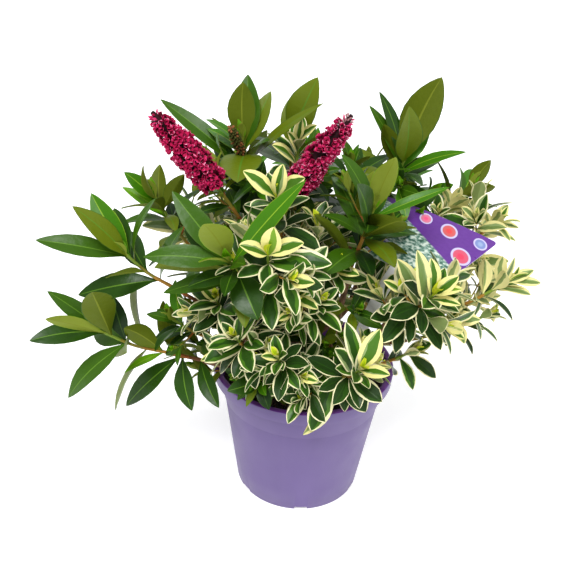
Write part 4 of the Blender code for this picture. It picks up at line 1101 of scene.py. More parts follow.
def fill_in(room, masses):
    """Side shoots and leaves that the source leaves out, where there is room."""
    for order, (name, row) in enumerate(SHOOTS.items()):
        if name in OPEN_SHOOTS:
            continue
        kind, _, _, _, _, length, turn, _ = row
        rng = random.Random(SEED * 3 + order)
        mass = masses[name]
        line = mass["stem"][0]
        reach, size, pairs, count = FINE_SHOOTS[kind]
        for twig, twist in fine_twigs(rng, line, 0.12, 0.80, count, reach * length):
            if kept_open(name, twig[-1]):
                continue
            settle(room, mass, name, twig, None)
            for leaf in leaf_pairs(rng, kind, twig, pairs, size * length, twist):
                if not kept_open(name, leaf["tip"]):
                    settle(room, mass, name, twig, leaf)
        for leaf in leaf_pairs(rng, kind, line, 9, 0.8 * length, turn + 45):
            if leaf["rank"] > 1 and not kept_open(name, leaf["tip"]):
                settle_leaf(room, mass, name, leaf)


def inner_shoots(room, boughs, masses):
    """Leafy twigs on the boughs themselves, which close the crown's dark inside."""
    count, low, high, reach, length = INNER_SHOOTS
    for order, (bough, (points, radii)) in enumerate(boughs.items()):
        rng = random.Random(SEED * 5 + order)
        name = next(name for name, row in SHOOTS.items() if row[1] == bough and name not in SPIKES)
        kind = SHOOTS[name][0]
        for i in range(count):
            point, heading = along(points, strewn(rng, low, high, i, count))
            side = square_to(heading, any_way(rng, -0.2, 0.8))
            base = point + side * (radii[0] + TWIG_ROOT + LEAF_GAP)
            ahead = (side * 0.8 + heading * 0.6).normalized()
            tip = base + ahead * reach * rng.uniform(0.7, 1.1)
            twig = bend(base, ahead, tip, risen(ahead, 0.5), 5)
            settle(room, masses[name], name, twig, None)
            for leaf in leaf_pairs(rng, kind, twig, 4, length * rng.uniform(0.8, 1.2), rng.uniform(0, 90)):
                # The raised rank deals these inner leaves the last tones, among them the painted shade of
                # the crown's inside
                leaf["rank"] += 2
                settle(room, masses[name], name, twig, leaf)


def buds(rng, kind, line, length):
    """The closed young pairs at a shoot's tip."""
    tip = line[-1]
    heading = (line[-1] - line[-2]).normalized()
    side = square_to(heading, Vector((0.2, 0.9, 0.3)))
    leaves = []
    for pair, (size, spread) in enumerate(BUD_PAIRS[kind]):
        turn = math.radians(rng.uniform(0, 40) + 90 * pair)
        out = Matrix.Rotation(turn, 3, heading) @ side
        for sign in (1, -1):
            root = tip - heading * 0.001 * pair + out * sign * 0.0004
            reach = size * length * rng.uniform(0.9, 1.1)
            leaves.append(make_leaf(kind, root, heading, out * sign, math.radians(spread), reach, -1))
    return leaves


# Meshes

class Bundle:
    """Vertices, faces and material slots gathered into one piece."""

    def __init__(self, palette):
        self.palette = palette
        self.order = {name: i for i, name in enumerate(palette)}
        self.vertices = []
        self.faces = []
        self.slots = []

    def add(self, vertices, faces, finishes):
        start = len(self.vertices)
        self.vertices += vertices
        self.faces += [tuple(start + i for i in face) for face in faces]
        if isinstance(finishes, str):
            finishes = [finishes] * len(faces)
        self.slots += [self.order[name] for name in finishes]

    def make(self, name, angle=50):
        mesh = bpy.data.meshes.new(name)
        mesh.from_pydata([tuple(v) for v in self.vertices], [], self.faces)
        for finish in self.palette:
            mesh.materials.append(finishes[finish])
        mesh.polygons.foreach_set("material_index", self.slots)
        mesh.update()
        thing = bpy.data.objects.new(name, mesh)
        bpy.context.scene.collection.objects.link(thing)
        smooth(thing, angle)
        return thing


def pick_only(thing):
    """Select one object and make it the active one."""
    for other in bpy.context.selected_objects:
        other.select_set(False)
    thing.select_set(True)
    bpy.context.view_layer.objects.active = thing


def smooth(thing, angle):
    pick_only(thing)
    bpy.ops.object.shade_smooth_by_angle(angle=math.radians(angle))


def tone_leaders(masses):
    """Give each leading leaf the tone that its table names."""
    for name, tones in LEADER_TONES.items():
        leaders = masses[name]["leaves"][:len(tones)]
        for (_, tip_place, _, _), tone in zip(LEADERS[name], tones):
            tip = place(*tip_place)
            near = min(leaders, key=lambda leaf: (leaf["tip"] - tip).length)
            near["tone"] = tone


def leaf_tone(name, leaf, rng):
    """The tone of a leaf: its own, or one dealt out by its age."""
    kind, rank = leaf["kind"], leaf["rank"]
    if "tone" in leaf:
        return leaf["tone"]
    if rank < 0:
        return "fresh" if kind == "green" else "young" if name in PALE_SHOOTS else "bud"
    if name in PALE_SHOOTS and rank > 0 and rng.random() < 0.7:
        return "pale"
    ages = AGE_TONES[kind]
    return rng.choice(ages[min(rank, len(ages) - 1)])


def leaf_columns(leaf, tone, rng):
    """How far out the edge band and the heart reach, for each side and station."""
    rows = len(LEAF_OUTLINES[leaf["kind"]]) - 1
    if leaf["kind"] == "green":
        return [(-1.0, -0.95, -0.52, -0.05, 0.05, 0.52, 0.95, 1.0)] * rows
    band = EDGE_BANDS[tone]
    columns = []
    sides = [(rng.uniform(*band), rng.uniform(0.3, 0.8)) for _ in range(2)]
    for i in range(rows):
        share = i / (rows - 1)
        close = 1.0 - 0.55 * max(0.0, (share - 0.72) / 0.28) ** 2
        limits = []
        for edge, heart in sides:
            band_at = min(0.94, max(0.2, (edge + rng.uniform(-0.08, 0.08)) * close))
            heart_at = band_at * min(0.92, max(0.15, heart + rng.uniform(-0.2, 0.2)))
            limits.append((band_at, heart_at))
        (left, left_heart), (right, right_heart) = limits
        columns.append((-1.0, -left, -left_heart, -0.05, 0.05, right_heart, right, 1.0))
    return columns


def fine_leaf(bundle, name, leaf, rng):
    """A thin, closed leaf: folded along its rib, bowed, waved and twisted a little."""
    kind = LEAF_KINDS[leaf["kind"]]
    outline = LEAF_OUTLINES[leaf["kind"]]
    ahead, across, up = leaf_frame(leaf)
    length, width = leaf_size(leaf)
    fold = LEAF_FOLD * rng.uniform(0.5, 1.4)
    if leaf["rank"] < 0:
        fold = BUD_FOLD
    bow = rng.uniform(-LEAF_BOW, LEAF_BOW) * length
    twist = rng.uniform(-LEAF_TWIST, LEAF_TWIST)
    wave = rng.uniform(0.0, LEAF_WAVE)
    phase = rng.uniform(0.0, 2 * math.pi)
    tone = leaf_tone(name, leaf, rng)
    edge, outer, other, inner, rib, under, under_heart, under_rib = LEAF_TONES[tone]
    # Which side's outer blade of a cream leaf carries the painted sheen is dealt at random
    if rng.random() < 0.5:
        outer, other = other, outer
    vertices = []
    for (share, broad), columns in zip(outline, leaf_columns(leaf, tone, rng)):
        hump = 4 * share * (1 - share)
        middle = leaf["base"] + ahead * length * share
        middle += up * kind["arch"] * length * hump + across * bow * hump
        turn = twist * (share - 0.3)
        side = turned(across, up, turn)
        top = turned(up, across, -turn)
        half = width / 2 * broad
        upper = []
        lower = []
        for column in columns:
            out = abs(column)
            lift = fold * out * (1.0 - 0.35 * out)
            lift += wave * column * column * math.sin(7 * share + (phase if column > 0 else -phase))
            point = middle + side * column * half + top * lift * half
            upper.append(point)
            thick = LEAF_THIN * (1 - out ** 3) + LEAF_KEEL * max(0.0, 1 - out / 0.2)
            lower.append(point - top * thick)
        vertices += upper + lower[1:-1]
    vertices.append(leaf["tip"])
    count = len(columns)
    ring = 2 * count - 2
    rows = len(outline) - 1
    above = (edge, outer, inner, rib, inner, other, edge)
    beneath = (edge, under, under_heart, under_rib, under_heart, under, edge)
    faces = [(*range(count, ring), *range(count - 1, -1, -1))]
    names = [under]
    below = [0, *range(count, ring), count - 1]
    for i in range(rows):
        for j in range(count - 1):
            a, b = i * ring + j, i * ring + j + 1
            c, d = i * ring + below[j], i * ring + below[j + 1]
            if i < rows - 1:
                faces.append((a, b, b + ring, a + ring))
                faces.append((c, c + ring, d + ring, d))
            else:
                faces.append((a, b, rows * ring))
                faces.append((c, rows * ring, d))
            names += [above[j], beneath[j]]
    bundle.add(vertices, faces, names)


def smoothed(points, radii, step):
    """A limb's line and radii drawn finer, on a curve through the same points."""
    line = []
    sizes = []
    for i in range(len(points) - 1):
        before = points[max(i - 1, 0)]
        a, b = points[i], points[i + 1]
        after = points[min(i + 2, len(points) - 1)]
        count = max(1, round((b - a).length / step))
        for k in range(count):
            t = k / count
            bow = (a * 2 + (b - before) * t + (before * 2 - a * 5 + b * 4 - after) * t * t
                   + (a * 3 - before - b * 3 + after) * t ** 3) / 2
            line.append(bow)
            sizes.append(radii[i] + (radii[i + 1] - radii[i]) * t)
    return line + [points[-1]], sizes + [radii[-1]]


def rough_tube(points, radii, sides, relief, grain):
    """A closed tube whose skin is ridged along its length."""
    vertices, faces = tube(points, radii, sides)
    for i, point in enumerate(points):
        for j in range(sides):
            spot = i * sides + j
            out = vertices[spot] - point
            turn = 2 * math.pi * j / sides
            ridge = noise.noise(Vector((2.2 * math.cos(turn), 2.2 * math.sin(turn), grain * i)))
            ridge += 0.5 * noise.noise(Vector((5 * math.cos(turn), 5 * math.sin(turn), 3 * grain * i)))
            vertices[spot] = point + out * (1.0 + relief * ridge)
    return vertices, faces


def stem_tube(bundle, points, radii, sides, shades):
    """A young stem: slightly swollen at even steps along it, shaded from root to tip."""
    line, sizes = smoothed(points, radii, STEM_STEP)
    sizes = [size * (1.0 + 0.12 * max(0.0, math.sin(i * 1.1)) ** 3) for i, size in enumerate(sizes)]
    vertices, faces = tube(line, sizes, sides)
    names = []
    for i in range(len(line) - 1):
        shade = shades[min(len(shades) - 1, int(len(shades) * i / (len(line) - 1)))]
        names += [shade] * sides
    names += [shades[0], shades[-1]]
    bundle.add(vertices, faces, names)


# Blossom

def petal(bundle, root, out, side, length, width, cup, lit):
    """One small curled petal, thin and closed, dark at its root and lit at its end."""
    up = out.cross(side)
    rows = ((0.0, 0.35), (0.4, 0.95), (0.78, 0.85))
    vertices = []
    for share, broad in rows:
        middle = root + out * length * share + up * length * cup * share * share
        half = side * width / 2 * broad
        vertices += [middle - half, middle, middle + half, middle - up * 0.00022]
    end = root + out * length + up * length * cup
    vertices.append(end)
    faces = [(0, 1, 2, 3)] + [(b, a, d, c) for a, b, c, d in walls(3, 4)]
    faces += [(8 + (j + 1) % 4, 8 + j, 12) for j in range(4)]
    bundle.add(vertices, faces, ["petal_deep"] * 5 + ["petal_crimson"] * 4 + [lit] * 4)


def floret(bundle, rng, root, out, reach, opened, tints):
    """A short tube with four spreading petals and two stamens."""
    tip = root + out * reach
    bundle.add(*tube([root, tip], [0.0005, 0.0009], 5), "petal_deep")
    side = square_to(out, any_way(rng, -1, 1))
    other = out.cross(side)
    for i in range(4):
        way = turned(side, other, math.pi / 2 * i)
        lean = rng.uniform(0.5, 1.5) + (1.0 - opened) * 1.2
        ahead = (way + out * lean).normalized()
        beside = ahead.cross(out).normalized()
        size = FLORET_PETAL * rng.uniform(0.8, 1.2) * (0.6 + 0.4 * opened)
        lit = rng.choice(tints)
        petal(bundle, tip + way * 0.0005, ahead, beside, size, size * 0.9, rng.uniform(-0.5, 0.2), lit)
    if opened > 0.6:
        for sign in (1, -1):
            bulge = (out + side * sign * 0.35).normalized()
            end = tip + bulge * rng.uniform(0.0030, 0.0042)
            bundle.add(*tube([tip, end], [0.00018, 0.00014], 3), "petal_rose")
            bundle.add(*tube([end, end + bulge * 0.0007], [0.00035, 0.00025], 4), "petal_crimson")


def spike_radius(share):
    for (a, low), (b, high) in zip(SPIKE_PROFILE, SPIKE_PROFILE[1:]):
        if share <= b:
            return low + (high - low) * (share - a) / (b - a)


def flower_spike(bundle, name, points, rng):
    """Florets set in a rising spiral round a dark core, with buds at the tip."""
    root, tip = points[0], points[-1]
    axis = (tip - root).normalized()
    length = (tip - root).length
    side = square_to(axis, Vector((0.0, -1.0, 0.2)))
    other = axis.cross(side)
    stretch, tints, petals = SPIKE_TIPS[name]
    grain, bare = FLORET_GAPS
    steps = [i / CORE_STEPS for i in range(CORE_STEPS + 1)]
    core = [root.lerp(tip, step) for step in steps]
    sizes = [max(CORE_THINNEST, CORE_SHARE * spike_radius(step)) for step in steps]
    bundle.add(*tube(core, sizes, 10), "spike_core")
    for i in range(FLORET_COUNT):
        share = FLORETS_UP_TO * ((i + 0.5) / FLORET_COUNT) ** 0.92
        way = turned(side, other, i * GOLDEN_TURN + rng.uniform(-0.3, 0.3))
        place_on = root + axis * length * (share + rng.uniform(-0.008, 0.008))
        radius = spike_radius(share)
        if noise.noise(place_on * grain + way * 1.2) > bare and share < 0.8:
            continue
        out = (way + axis * (0.15 + 0.9 * share ** 3) + Vector((0, 0, -0.12))).normalized()
        if share > BUDS_FROM:
            if i % 2:
                continue
            bud = place_on + way * radius * 0.35
            top = bud + out * radius * stretch * rng.uniform(0.7, 1.1)
            waist = bud.lerp(top, 0.6)
            bundle.add(*tube([bud, waist, top], [0.0005, 0.0009, 0.0004], 6), rng.choice(tints))
            continue
        reach = radius * rng.uniform(*FLORET_REACH)
        opened = 1.0 if share < 0.7 else 0.6
        floret(bundle, rng, place_on + way * radius * 0.30, out, reach, opened, petals)


def spent_spike(bundle, points, rng):
    """A dried head: a bent brown axis set with small empty capsules."""
    line, sizes = smoothed(points, SPENT_AXIS, 0.003)
    bundle.add(*tube(line, sizes, 6), "spent_brown")
    for i in range(CAPSULE_COUNT):
        share = CAPSULES_FROM + (1.0 - CAPSULES_FROM) * (i + 0.5) / CAPSULE_COUNT
        base, heading = along(points, share)
        side = square_to(heading, Vector((0.3, 0.2, 0.9)))
        way = turned(side, heading.cross(side), i * GOLDEN_TURN)
        radius = SPENT_RADIUS * (1.0 - 0.35 * max(0.0, share - 0.8) / 0.2)
        out = (way + heading * rng.uniform(0.1, 0.6)).normalized()
        top = base + out * radius * rng.uniform(0.8, 1.0)
        waist = base.lerp(top, 0.72)
        name = rng.choice(("spent_olive", "spent_olive", "spent_olive", "spent_brown"))
        bundle.add(*tube([base, waist, top], [0.0003, 0.0011, 0.0005], 5), name)


# Finishes

def wire(tree, start, end):
    tree.links.new(start, end)


def add_node(tree, kind, **levels):
    """A node with some of its inputs set, each named in small letters."""
    node = tree.nodes.new("ShaderNode" + kind)
    for name, level in levels.items():
        node.inputs[name.replace("_", " ").title()].default_value = level
    return node


def add_noise(tree, scale, detail=3.0, rough=0.55, stretch=None):
    """A noise pattern on the piece's own coordinates."""
    source = add_node(tree, "TexCoord").outputs["Object"]
    if stretch:
        mapping = add_node(tree, "Mapping", scale=stretch)
        wire(tree, source, mapping.inputs["Vector"])
        source = mapping.outputs["Vector"]
    pattern = add_node(tree, "TexNoise", scale=scale, detail=detail, roughness=rough)
    wire(tree, source, pattern.inputs["Vector"])
    return pattern.outputs["Fac"]


def add_range(tree, source, low, high, first=0.3, last=0.7):
    """The source's levels from first to last, spread from low to high."""
    spread = add_node(tree, "MapRange", from_min=first, from_max=last, to_min=low, to_max=high)
    wire(tree, source, spread.inputs["Value"])
    return spread.outputs["Result"]


def add_bump(tree, shader, source, distance, strength=1.0):
    bump = add_node(tree, "Bump", strength=strength, distance=distance)
    wire(tree, source, bump.inputs["Height"])
    wire(tree, bump.outputs["Normal"], shader.inputs["Normal"])


def add_ramp(tree, source, stops):
    """A blend of paints at levels of the source, lowest first."""
    ramp = add_node(tree, "ValToRGB")
    band = ramp.color_ramp.elements
    for stop, (level, colour) in ((band[0], stops[0]), (band[1], stops[-1])):
        stop.position = level
        stop.color = (*paint(*colour), 1.0)
    for level, colour in stops[1:-1]:
        band.new(level).color = (*paint(*colour), 1.0)
    wire(tree, source, ramp.inputs["Fac"])
    return ramp.outputs["Color"]


def new_finish(name, colour, roughness, specular=0.5):
    """A material of one linear colour, with its node tree and its shader."""
    made = bpy.data.materials.new(name)
    made.use_nodes = True
    shader = made.node_tree.nodes["Principled BSDF"]
    shader.inputs["Base Color"].default_value = (*colour, 1.0)
    shader.inputs["Roughness"].default_value = roughness
    shader.inputs["Specular IOR Level"].default_value = specular
    return made, made.node_tree, shader


def blade_finish(name, colour, low, high, gloss, grain=170, depth=0.0005):
    """Living leaf: one plain colour, an uneven shine and a quilted skin."""
    made, tree, shader = new_finish(name, paint(*colour), (low + high) / 2, gloss)
    wire(tree, add_range(tree, add_noise(tree, 60, 4), low, high), shader.inputs["Roughness"])
    add_bump(tree, shader, add_noise(tree, grain, 2, 0.6), depth, 0.7)
    return made


def mottled_finish(name, stops, scale, low, high, grain, depth, stretch=None):
    """A skin whose colour, shine and relief all vary."""
    made, tree, shader = new_finish(name, paint(*stops[0][1]), (low + high) / 2)
    wire(tree, add_ramp(tree, add_noise(tree, scale, 6, 0.6, stretch), stops), shader.inputs["Base Color"])
    wire(tree, add_range(tree, add_noise(tree, scale * 2, 3), low, high), shader.inputs["Roughness"])
    add_bump(tree, shader, add_noise(tree, grain, 5, 0.65, stretch), depth)
    return made


def paint(red, green, blue):
    """A paint of 0 to 255 levels as the linear colour that shaders take."""
    levels = (red / 255, green / 255, blue / 255)
    return tuple(x / 12.92 if x < 0.04045 else ((x + 0.055) / 1.055) ** 2.4 for x in levels)


def make_finishes():
    """Every finish of the plant and its pot, by name."""
    made = {}
    for row in LEAF_FINISHES:
        made[row[0]] = blade_finish(*row, LEAF_GLOSS)
    for row in SOFT_FINISHES:
        made[row[0]] = blade_finish(*row, SOFT_GLOSS, *SOFT_GRAIN)
    for row in MOTTLED_FINISHES:
        made[row[0]] = mottled_finish(*row)
    made["card_print"] = printed_card()
    return made


def mix_colour(tree, mask, under, over):
    """One colour under a mask and the other, a paint or a pattern, where it is white."""
    blend = add_node(tree, "Mix")
    blend.data_type = "RGBA"
    wire(tree, mask, blend.inputs[0])
    wire(tree, under, blend.inputs[6])
    if isinstance(over, tuple):
        blend.inputs[7].default_value = (*paint(*over), 1.0)
    else:
        wire(tree, over, blend.inputs[7])
    return blend.outputs[2]


def disc_mask(tree, spot, middle, size, edge):
    """White inside an oval on the card, with a soft thin edge."""
    wide, high, turn = size
    shift = add_node(tree, "Mapping")
    shift.vector_type = "TEXTURE"
    shift.inputs["Location"].default_value = (*middle, 0.0)
    shift.inputs["Rotation"].default_value = (0.0, 0.0, turn)
    shift.inputs["Scale"].default_value = (wide, high, 1.0)
    wire(tree, spot, shift.inputs["Vector"])
    length = add_node(tree, "VectorMath")
    length.operation = "LENGTH"
    wire(tree, shift.outputs["Vector"], length.inputs[0])
    return add_range(tree, length.outputs["Value"], 1.0, 0.0, 1.0 - edge, 1.0 + edge)


def slant_mask(tree, spot, heading, limit, edge=0.01):
    """White on the card's side of a slanting line that lies toward its foot."""
    reach = add_node(tree, "VectorMath")
    reach.operation = "DOT_PRODUCT"
    wire(tree, spot, reach.inputs[0])
    reach.inputs[1].default_value = (*heading, 0.0)
    return add_range(tree, reach.outputs["Value"], 1.0, 0.0, limit - edge, limit + edge)


def printed_card():
    """Glossy printed card: violet ground, a pale leafy corner and round blossom motifs."""
    made, tree, shader = new_finish("card_print", paint(*CARD_BASE), 0.3)
    chart = add_node(tree, "UVMap")
    chart.uv_map = "card"
    spot = chart.outputs["UV"]
    fine = add_node(tree, "TexNoise", scale=26, detail=5)
    wire(tree, spot, fine.inputs["Vector"])
    ground = add_ramp(tree, fine.outputs["Fac"], CARD_GROUND)
    leafy = add_ramp(tree, fine.outputs["Fac"], CARD_LEAFY)
    colour = mix_colour(tree, slant_mask(tree, spot, *CARD_SLANT), ground, leafy)
    for middle, (wide, high, turn), tints in CARD_MOTIFS:
        for (share, edge), tint in zip(CARD_DISCS, (CARD_RING, *tints)):
            disc = disc_mask(tree, spot, middle, (wide * share, high * share, turn), edge)
            colour = mix_colour(tree, disc, colour, tint)
    wire(tree, colour, shader.inputs["Base Color"])
    wire(tree, add_range(tree, add_noise(tree, 30), 0.26, 0.36), shader.inputs["Roughness"])
    add_bump(tree, shader, add_noise(tree, 300, 1), 0.000004, 0.3)
    return made


# Pot, soil and label

def open_edit(thing):
    pick_only(thing)
    bpy.ops.object.mode_set(mode="EDIT")
    bpy.ops.mesh.select_all(action="SELECT")


def close_edit():
    bpy.ops.object.mode_set(mode="OBJECT")


def apply_all(thing):
    pick_only(thing)
    for modifier in list(thing.modifiers):
        bpy.ops.object.modifier_apply(modifier=modifier.name)


def settle_place(thing):
    """Move the object's place, turn and size into its mesh."""
    thing.data.transform(thing.matrix_world)
    thing.matrix_world = Matrix.Identity(4)


def set_finishes(thing, names):
    thing.data.materials.clear()
    for name in names:
        thing.data.materials.append(finishes[name])


def wall_at(height):
    return BASE_RADIUS + (BODY_TOP_RADIUS - BASE_RADIUS) * height / (POT_HEIGHT - RIM_BAND)


def make_pot():
    """The pot raised ring by ring from its foot, over the rim and down inside.

    Each ring is a radius and a height, with rounds of a millimetre or less between.
    """
    under_rim = POT_HEIGHT - RIM_BAND
    step = under_rim - STEP_DROP
    inner = RIM_RADIUS - RIM_LIP
    rings = [
        (BASE_RADIUS - 0.0008, 0.0), (BASE_RADIUS - 0.0002, 0.0002), (BASE_RADIUS, 0.0008),
        (wall_at(0.001) + 0.0008, 0.0020), (wall_at(0.03) + 0.0006, 0.030),
        (wall_at(0.06) + 0.0004, 0.060), (wall_at(0.09) + 0.0002, 0.090),
        (wall_at(step), step - 0.0010), (wall_at(step) - 0.0001, step - 0.0004),
        (wall_at(step) + 0.0006, step), (wall_at(step) + 0.0008, step + 0.0006),
        (wall_at(0.125), 0.125), (BODY_TOP_RADIUS, under_rim - 0.0010),
        (BODY_TOP_RADIUS + 0.0003, under_rim - 0.0002), (BODY_TOP_RADIUS + 0.0012, under_rim),
        (RIM_RADIUS - 0.0020, under_rim), (RIM_RADIUS - 0.0011, under_rim + 0.0002),
        (RIM_RADIUS - 0.0008, under_rim + 0.0010), (RIM_RADIUS - 0.0004, under_rim + 0.006),
        (RIM_RADIUS, POT_HEIGHT - 0.0014), (RIM_RADIUS - 0.0002, POT_HEIGHT - 0.0005),
        (RIM_RADIUS - 0.0010, POT_HEIGHT), (RIM_RADIUS - 0.0032, POT_HEIGHT),
        (inner + 0.0008, POT_HEIGHT - 0.0002), (inner + 0.0002, POT_HEIGHT - 0.0006),
        (inner, POT_HEIGHT - 0.0016),
        (BODY_TOP_RADIUS - POT_WALL, under_rim), (BASE_RADIUS - POT_WALL, POT_WALL),
    ]
    radius, height = rings[0]
    bpy.ops.mesh.primitive_circle_add(
        vertices=POT_SIDES, radius=radius, location=(0, 0, height), fill_type="NOTHING")
    pot = bpy.context.object
    pot.name = "nursery_pot"
    open_edit(pot)
    for next_radius, next_height in rings[1:]:
        rise = (0, 0, next_height - height)
        bpy.ops.mesh.extrude_region_move(TRANSFORM_OT_translate={"value": rise})
        scale = next_radius / radius
        bpy.ops.transform.resize(value=(scale, scale, 1), center_override=(0, 0, 0))
        radius, height = next_radius, next_height
    bpy.ops.mesh.select_all(action="SELECT")
    bpy.ops.mesh.fill_holes(sides=0)
    bpy.ops.mesh.select_all(action="SELECT")
    bpy.ops.mesh.normals_make_consistent(inside=False)
    close_edit()
    for i in range(NOTCH_COUNT):
        cut_notch(pot, NOTCH_TURN + 2 * math.pi * i / NOTCH_COUNT)
    settle_place(pot)
    set_finishes(pot, ("pot_violet", "rim_purple"))
    # The lip's top and the inner wall take the second finish: the same plastic with painted shade and
    # painted glow of light through it
    for face in pot.data.polygons:
        spot = face.center
        inward = face.normal.x * spot.x + face.normal.y * spot.y < 0
        if spot.z > POT_HEIGHT - 0.0004 or (inward and spot.z > POT_WALL):
            face.material_index = 1
    smooth(pot, 40)
    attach(pot, "root")
    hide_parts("pot")


def cut_notch(pot, turn):
    """Cut one drain notch through the foot, from a bevelled block."""
    bpy.ops.mesh.primitive_cube_add(size=1.0)
    block = bpy.context.object
    middle = BASE_RADIUS - NOTCH_DEPTH / 2 + NOTCH_BEYOND
    size = Matrix.Diagonal((NOTCH_DEPTH + 2 * NOTCH_BEYOND, NOTCH_WIDTH, 2 * NOTCH_HEIGHT, 1.0))
    at_rim = Matrix.Rotation(turn, 4, "Z") @ Matrix.Translation((middle, 0.0, 0.0))
    block.matrix_world = at_rim @ size
    settle_place(block)
    open_edit(block)
    bpy.ops.mesh.bevel(offset=0.001, segments=3)
    close_edit()
    cut = pot.modifiers.new("Notch", "BOOLEAN")
    cut.operation = "DIFFERENCE"
    cut.object = block
    cut.solver = "EXACT"
    apply_all(pot)
    bpy.data.objects.remove(block, do_unlink=True)


def make_soil():
    """Compost: a plug with a crumbly top, and loose crumbs and chips of bark on it."""
    floor = POT_WALL + GAP
    top = soil_radius(SOIL_TOP)
    bpy.ops.mesh.primitive_cone_add(vertices=SOIL_SIDES, radius1=soil_radius(floor), radius2=top,
                                    depth=SOIL_TOP - floor, location=(0, 0, (SOIL_TOP + floor) / 2))
    soil = bpy.context.object
    soil.name = "compost"
    settle_place(soil)
    open_edit(soil)
    bpy.ops.mesh.select_all(action="DESELECT")
    close_edit()
    for face in soil.data.polygons:
        face.select = face.center.z > SOIL_TOP - 0.001 and face.normal.z > 0.9
    bpy.ops.object.mode_set(mode="EDIT")
    for _ in range(SOIL_RINGS):
        bpy.ops.mesh.inset(thickness=(top - 0.002) / SOIL_RINGS)
    bpy.ops.mesh.merge(type="CENTER")
    close_edit()
    for v in soil.data.vertices:
        if v.co.z > SOIL_TOP - 0.0001:
            near = min(1.0, (top - math.hypot(v.co.x, v.co.y)) / SOIL_EDGE)
            v.co.z += near * sum(depth * noise.noise(v.co * grain) for grain, depth in SOIL_RELIEF)
    set_finishes(soil, ("soil",))
    smooth(soil, 60)
    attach(soil, "root")
    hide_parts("soil")
    crumbs = Bundle(("soil", "bark_chip"))
    rng = random.Random(SEED + 5)
    shape = bmesh.new()
    bmesh.ops.create_icosphere(shape, subdivisions=1, radius=1.0)
    corners = [v.co.copy() for v in shape.verts]
    sides = [tuple(v.index for v in face.verts) for face in shape.faces]
    shape.free()
    for _ in range(CRUMB_COUNT):
        reach = (top - 0.005) * math.sqrt(rng.random())
        turn = rng.uniform(0, 2 * math.pi)
        chip = rng.random() < CHIP_SHARE
        size = rng.uniform(*CRUMB_SIZES)
        scale = [size * part for part in (CHIP_SHAPE if chip else CRUMB_SHAPE)]
        spin = Matrix.Rotation(rng.uniform(0, 6.3), 3, "Z")
        spin = spin @ Matrix.Rotation(rng.uniform(-0.5, 0.5), 3, "X")
        middle = Vector((reach * math.cos(turn), reach * math.sin(turn), SOIL_TOP + 0.3 * size))
        lump = []
        for corner in corners:
            worn = [corner[k] * scale[k] * rng.uniform(0.75, 1.1) for k in range(3)]
            lump.append(middle + spin @ Vector(worn))
        crumbs.add(lump, sides, "bark_chip" if chip else "soil")
    loose = crumbs.make("compost_crumbs", 30)
    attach(loose, "root")
    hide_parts("soil")


def make_label():
    """The printed card, cut round at its corners, with its bent foot."""
    head, across, down, wide = card_frame()
    bpy.ops.mesh.primitive_plane_add(size=1.0)
    card = bpy.context.object
    card.name = "label_card"
    card.scale = (wide, CARD_LONG, 1.0)
    bpy.context.view_layer.update()
    settle_place(card)
    for v in card.data.vertices:
        if v.co.y < 0:
            v.co.x *= CARD_FOOT_SHARE
    open_edit(card)
    bpy.ops.mesh.bevel(offset=CARD_CORNER_ROUND, segments=5, affect="VERTICES")
    for i in range(1, CARD_STRIPS):
        bpy.ops.mesh.select_all(action="SELECT")
        spot = (wide * (i / CARD_STRIPS - 0.5), 0, 0)
        bpy.ops.mesh.bisect(plane_co=spot, plane_no=(1, 0, 0))
    close_edit()
    for v in card.data.vertices:
        v.co.z = CARD_CURL * (1.0 - (2 * v.co.x / wide) ** 2) - CARD_CURL / 2
    thick = card.modifiers.new("Card", "SOLIDIFY")
    thick.thickness = CARD_THIN
    thick.offset = 0.0
    apply_all(card)
    chart = card.data.uv_layers.new(name="card")
    for loop, spot in zip(card.data.loops, chart.data):
        co = card.data.vertices[loop.vertex_index].co
        spot.uv = (co.x / wide + 0.5, co.y / CARD_LONG + 0.5)
    set_finishes(card, ("card_print", "card_back"))
    for face in card.data.polygons:
        face.material_index = 0 if face.normal.z > 0.5 else 1
    middle = head + down * CARD_LONG / 2
    face_out = down.cross(across)
    turn = Matrix((across, -down, face_out)).transposed().to_4x4()
    card.data.transform(Matrix.Translation(middle) @ turn)
    smooth(card, 30)
    points, widths = label_line()
    foot = Bundle(("card_back",))
    line, sizes = smoothed(points[1:], widths[1:], 0.004)
    sizes = [min(size, STAKE_WIDE * 1.1) for size in sizes]
    foot.add(*strip(line, across, sizes, CARD_THIN * 1.6), "card_back")
    stake = foot.make("label_foot", 30)
    for piece in (card, stake):
        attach(piece, "root")
        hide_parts("plant_label")


# Plant

def make_wood(boughs):
    """Trunk and boughs with the bark's relief."""
    wood = Bundle(("bark",))
    points, radii = trunk_line()
    step, *skin = TRUNK_SKIN
    line, sizes = smoothed(points, radii, step)
    wood.add(*rough_tube(line, sizes, *skin), "bark")
    step, *skin = BOUGH_SKIN
    for points, radii in boughs.values():
        root = points[0] + (points[0] - points[1]).normalized() * BOUGH_SUNK
        line, sizes = smoothed([root] + points, [radii[0] * 1.25] + radii, step)
        sizes[0] = radii[0] * 1.5
        wood.add(*rough_tube(line, sizes, *skin), "bark")
    piece = wood.make("trunk_and_boughs", 60)
    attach(piece, "root")
    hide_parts("trunk", *boughs)


def make_stems(side, names, masses):
    stems = Bundle(STEM_PALETTE)
    for name in names:
        mass = masses[name]
        shades = STEM_SHADES[mass["kind"]]
        points, radii = mass["stem"]
        root = points[0] + (points[0] - points[1]).normalized() * STEM_SUNK
        stem_tube(stems, [root] + points, [radii[0]] + radii, 8, shades)
        for twig in mass["twigs"]:
            stem_tube(stems, twig, taper(TWIG_ROOT, TWIG_TIP, len(twig)), 6, shades[1:])
    piece = stems.make("stems_" + side, 60)
    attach(piece, "root")
    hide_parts(*names)


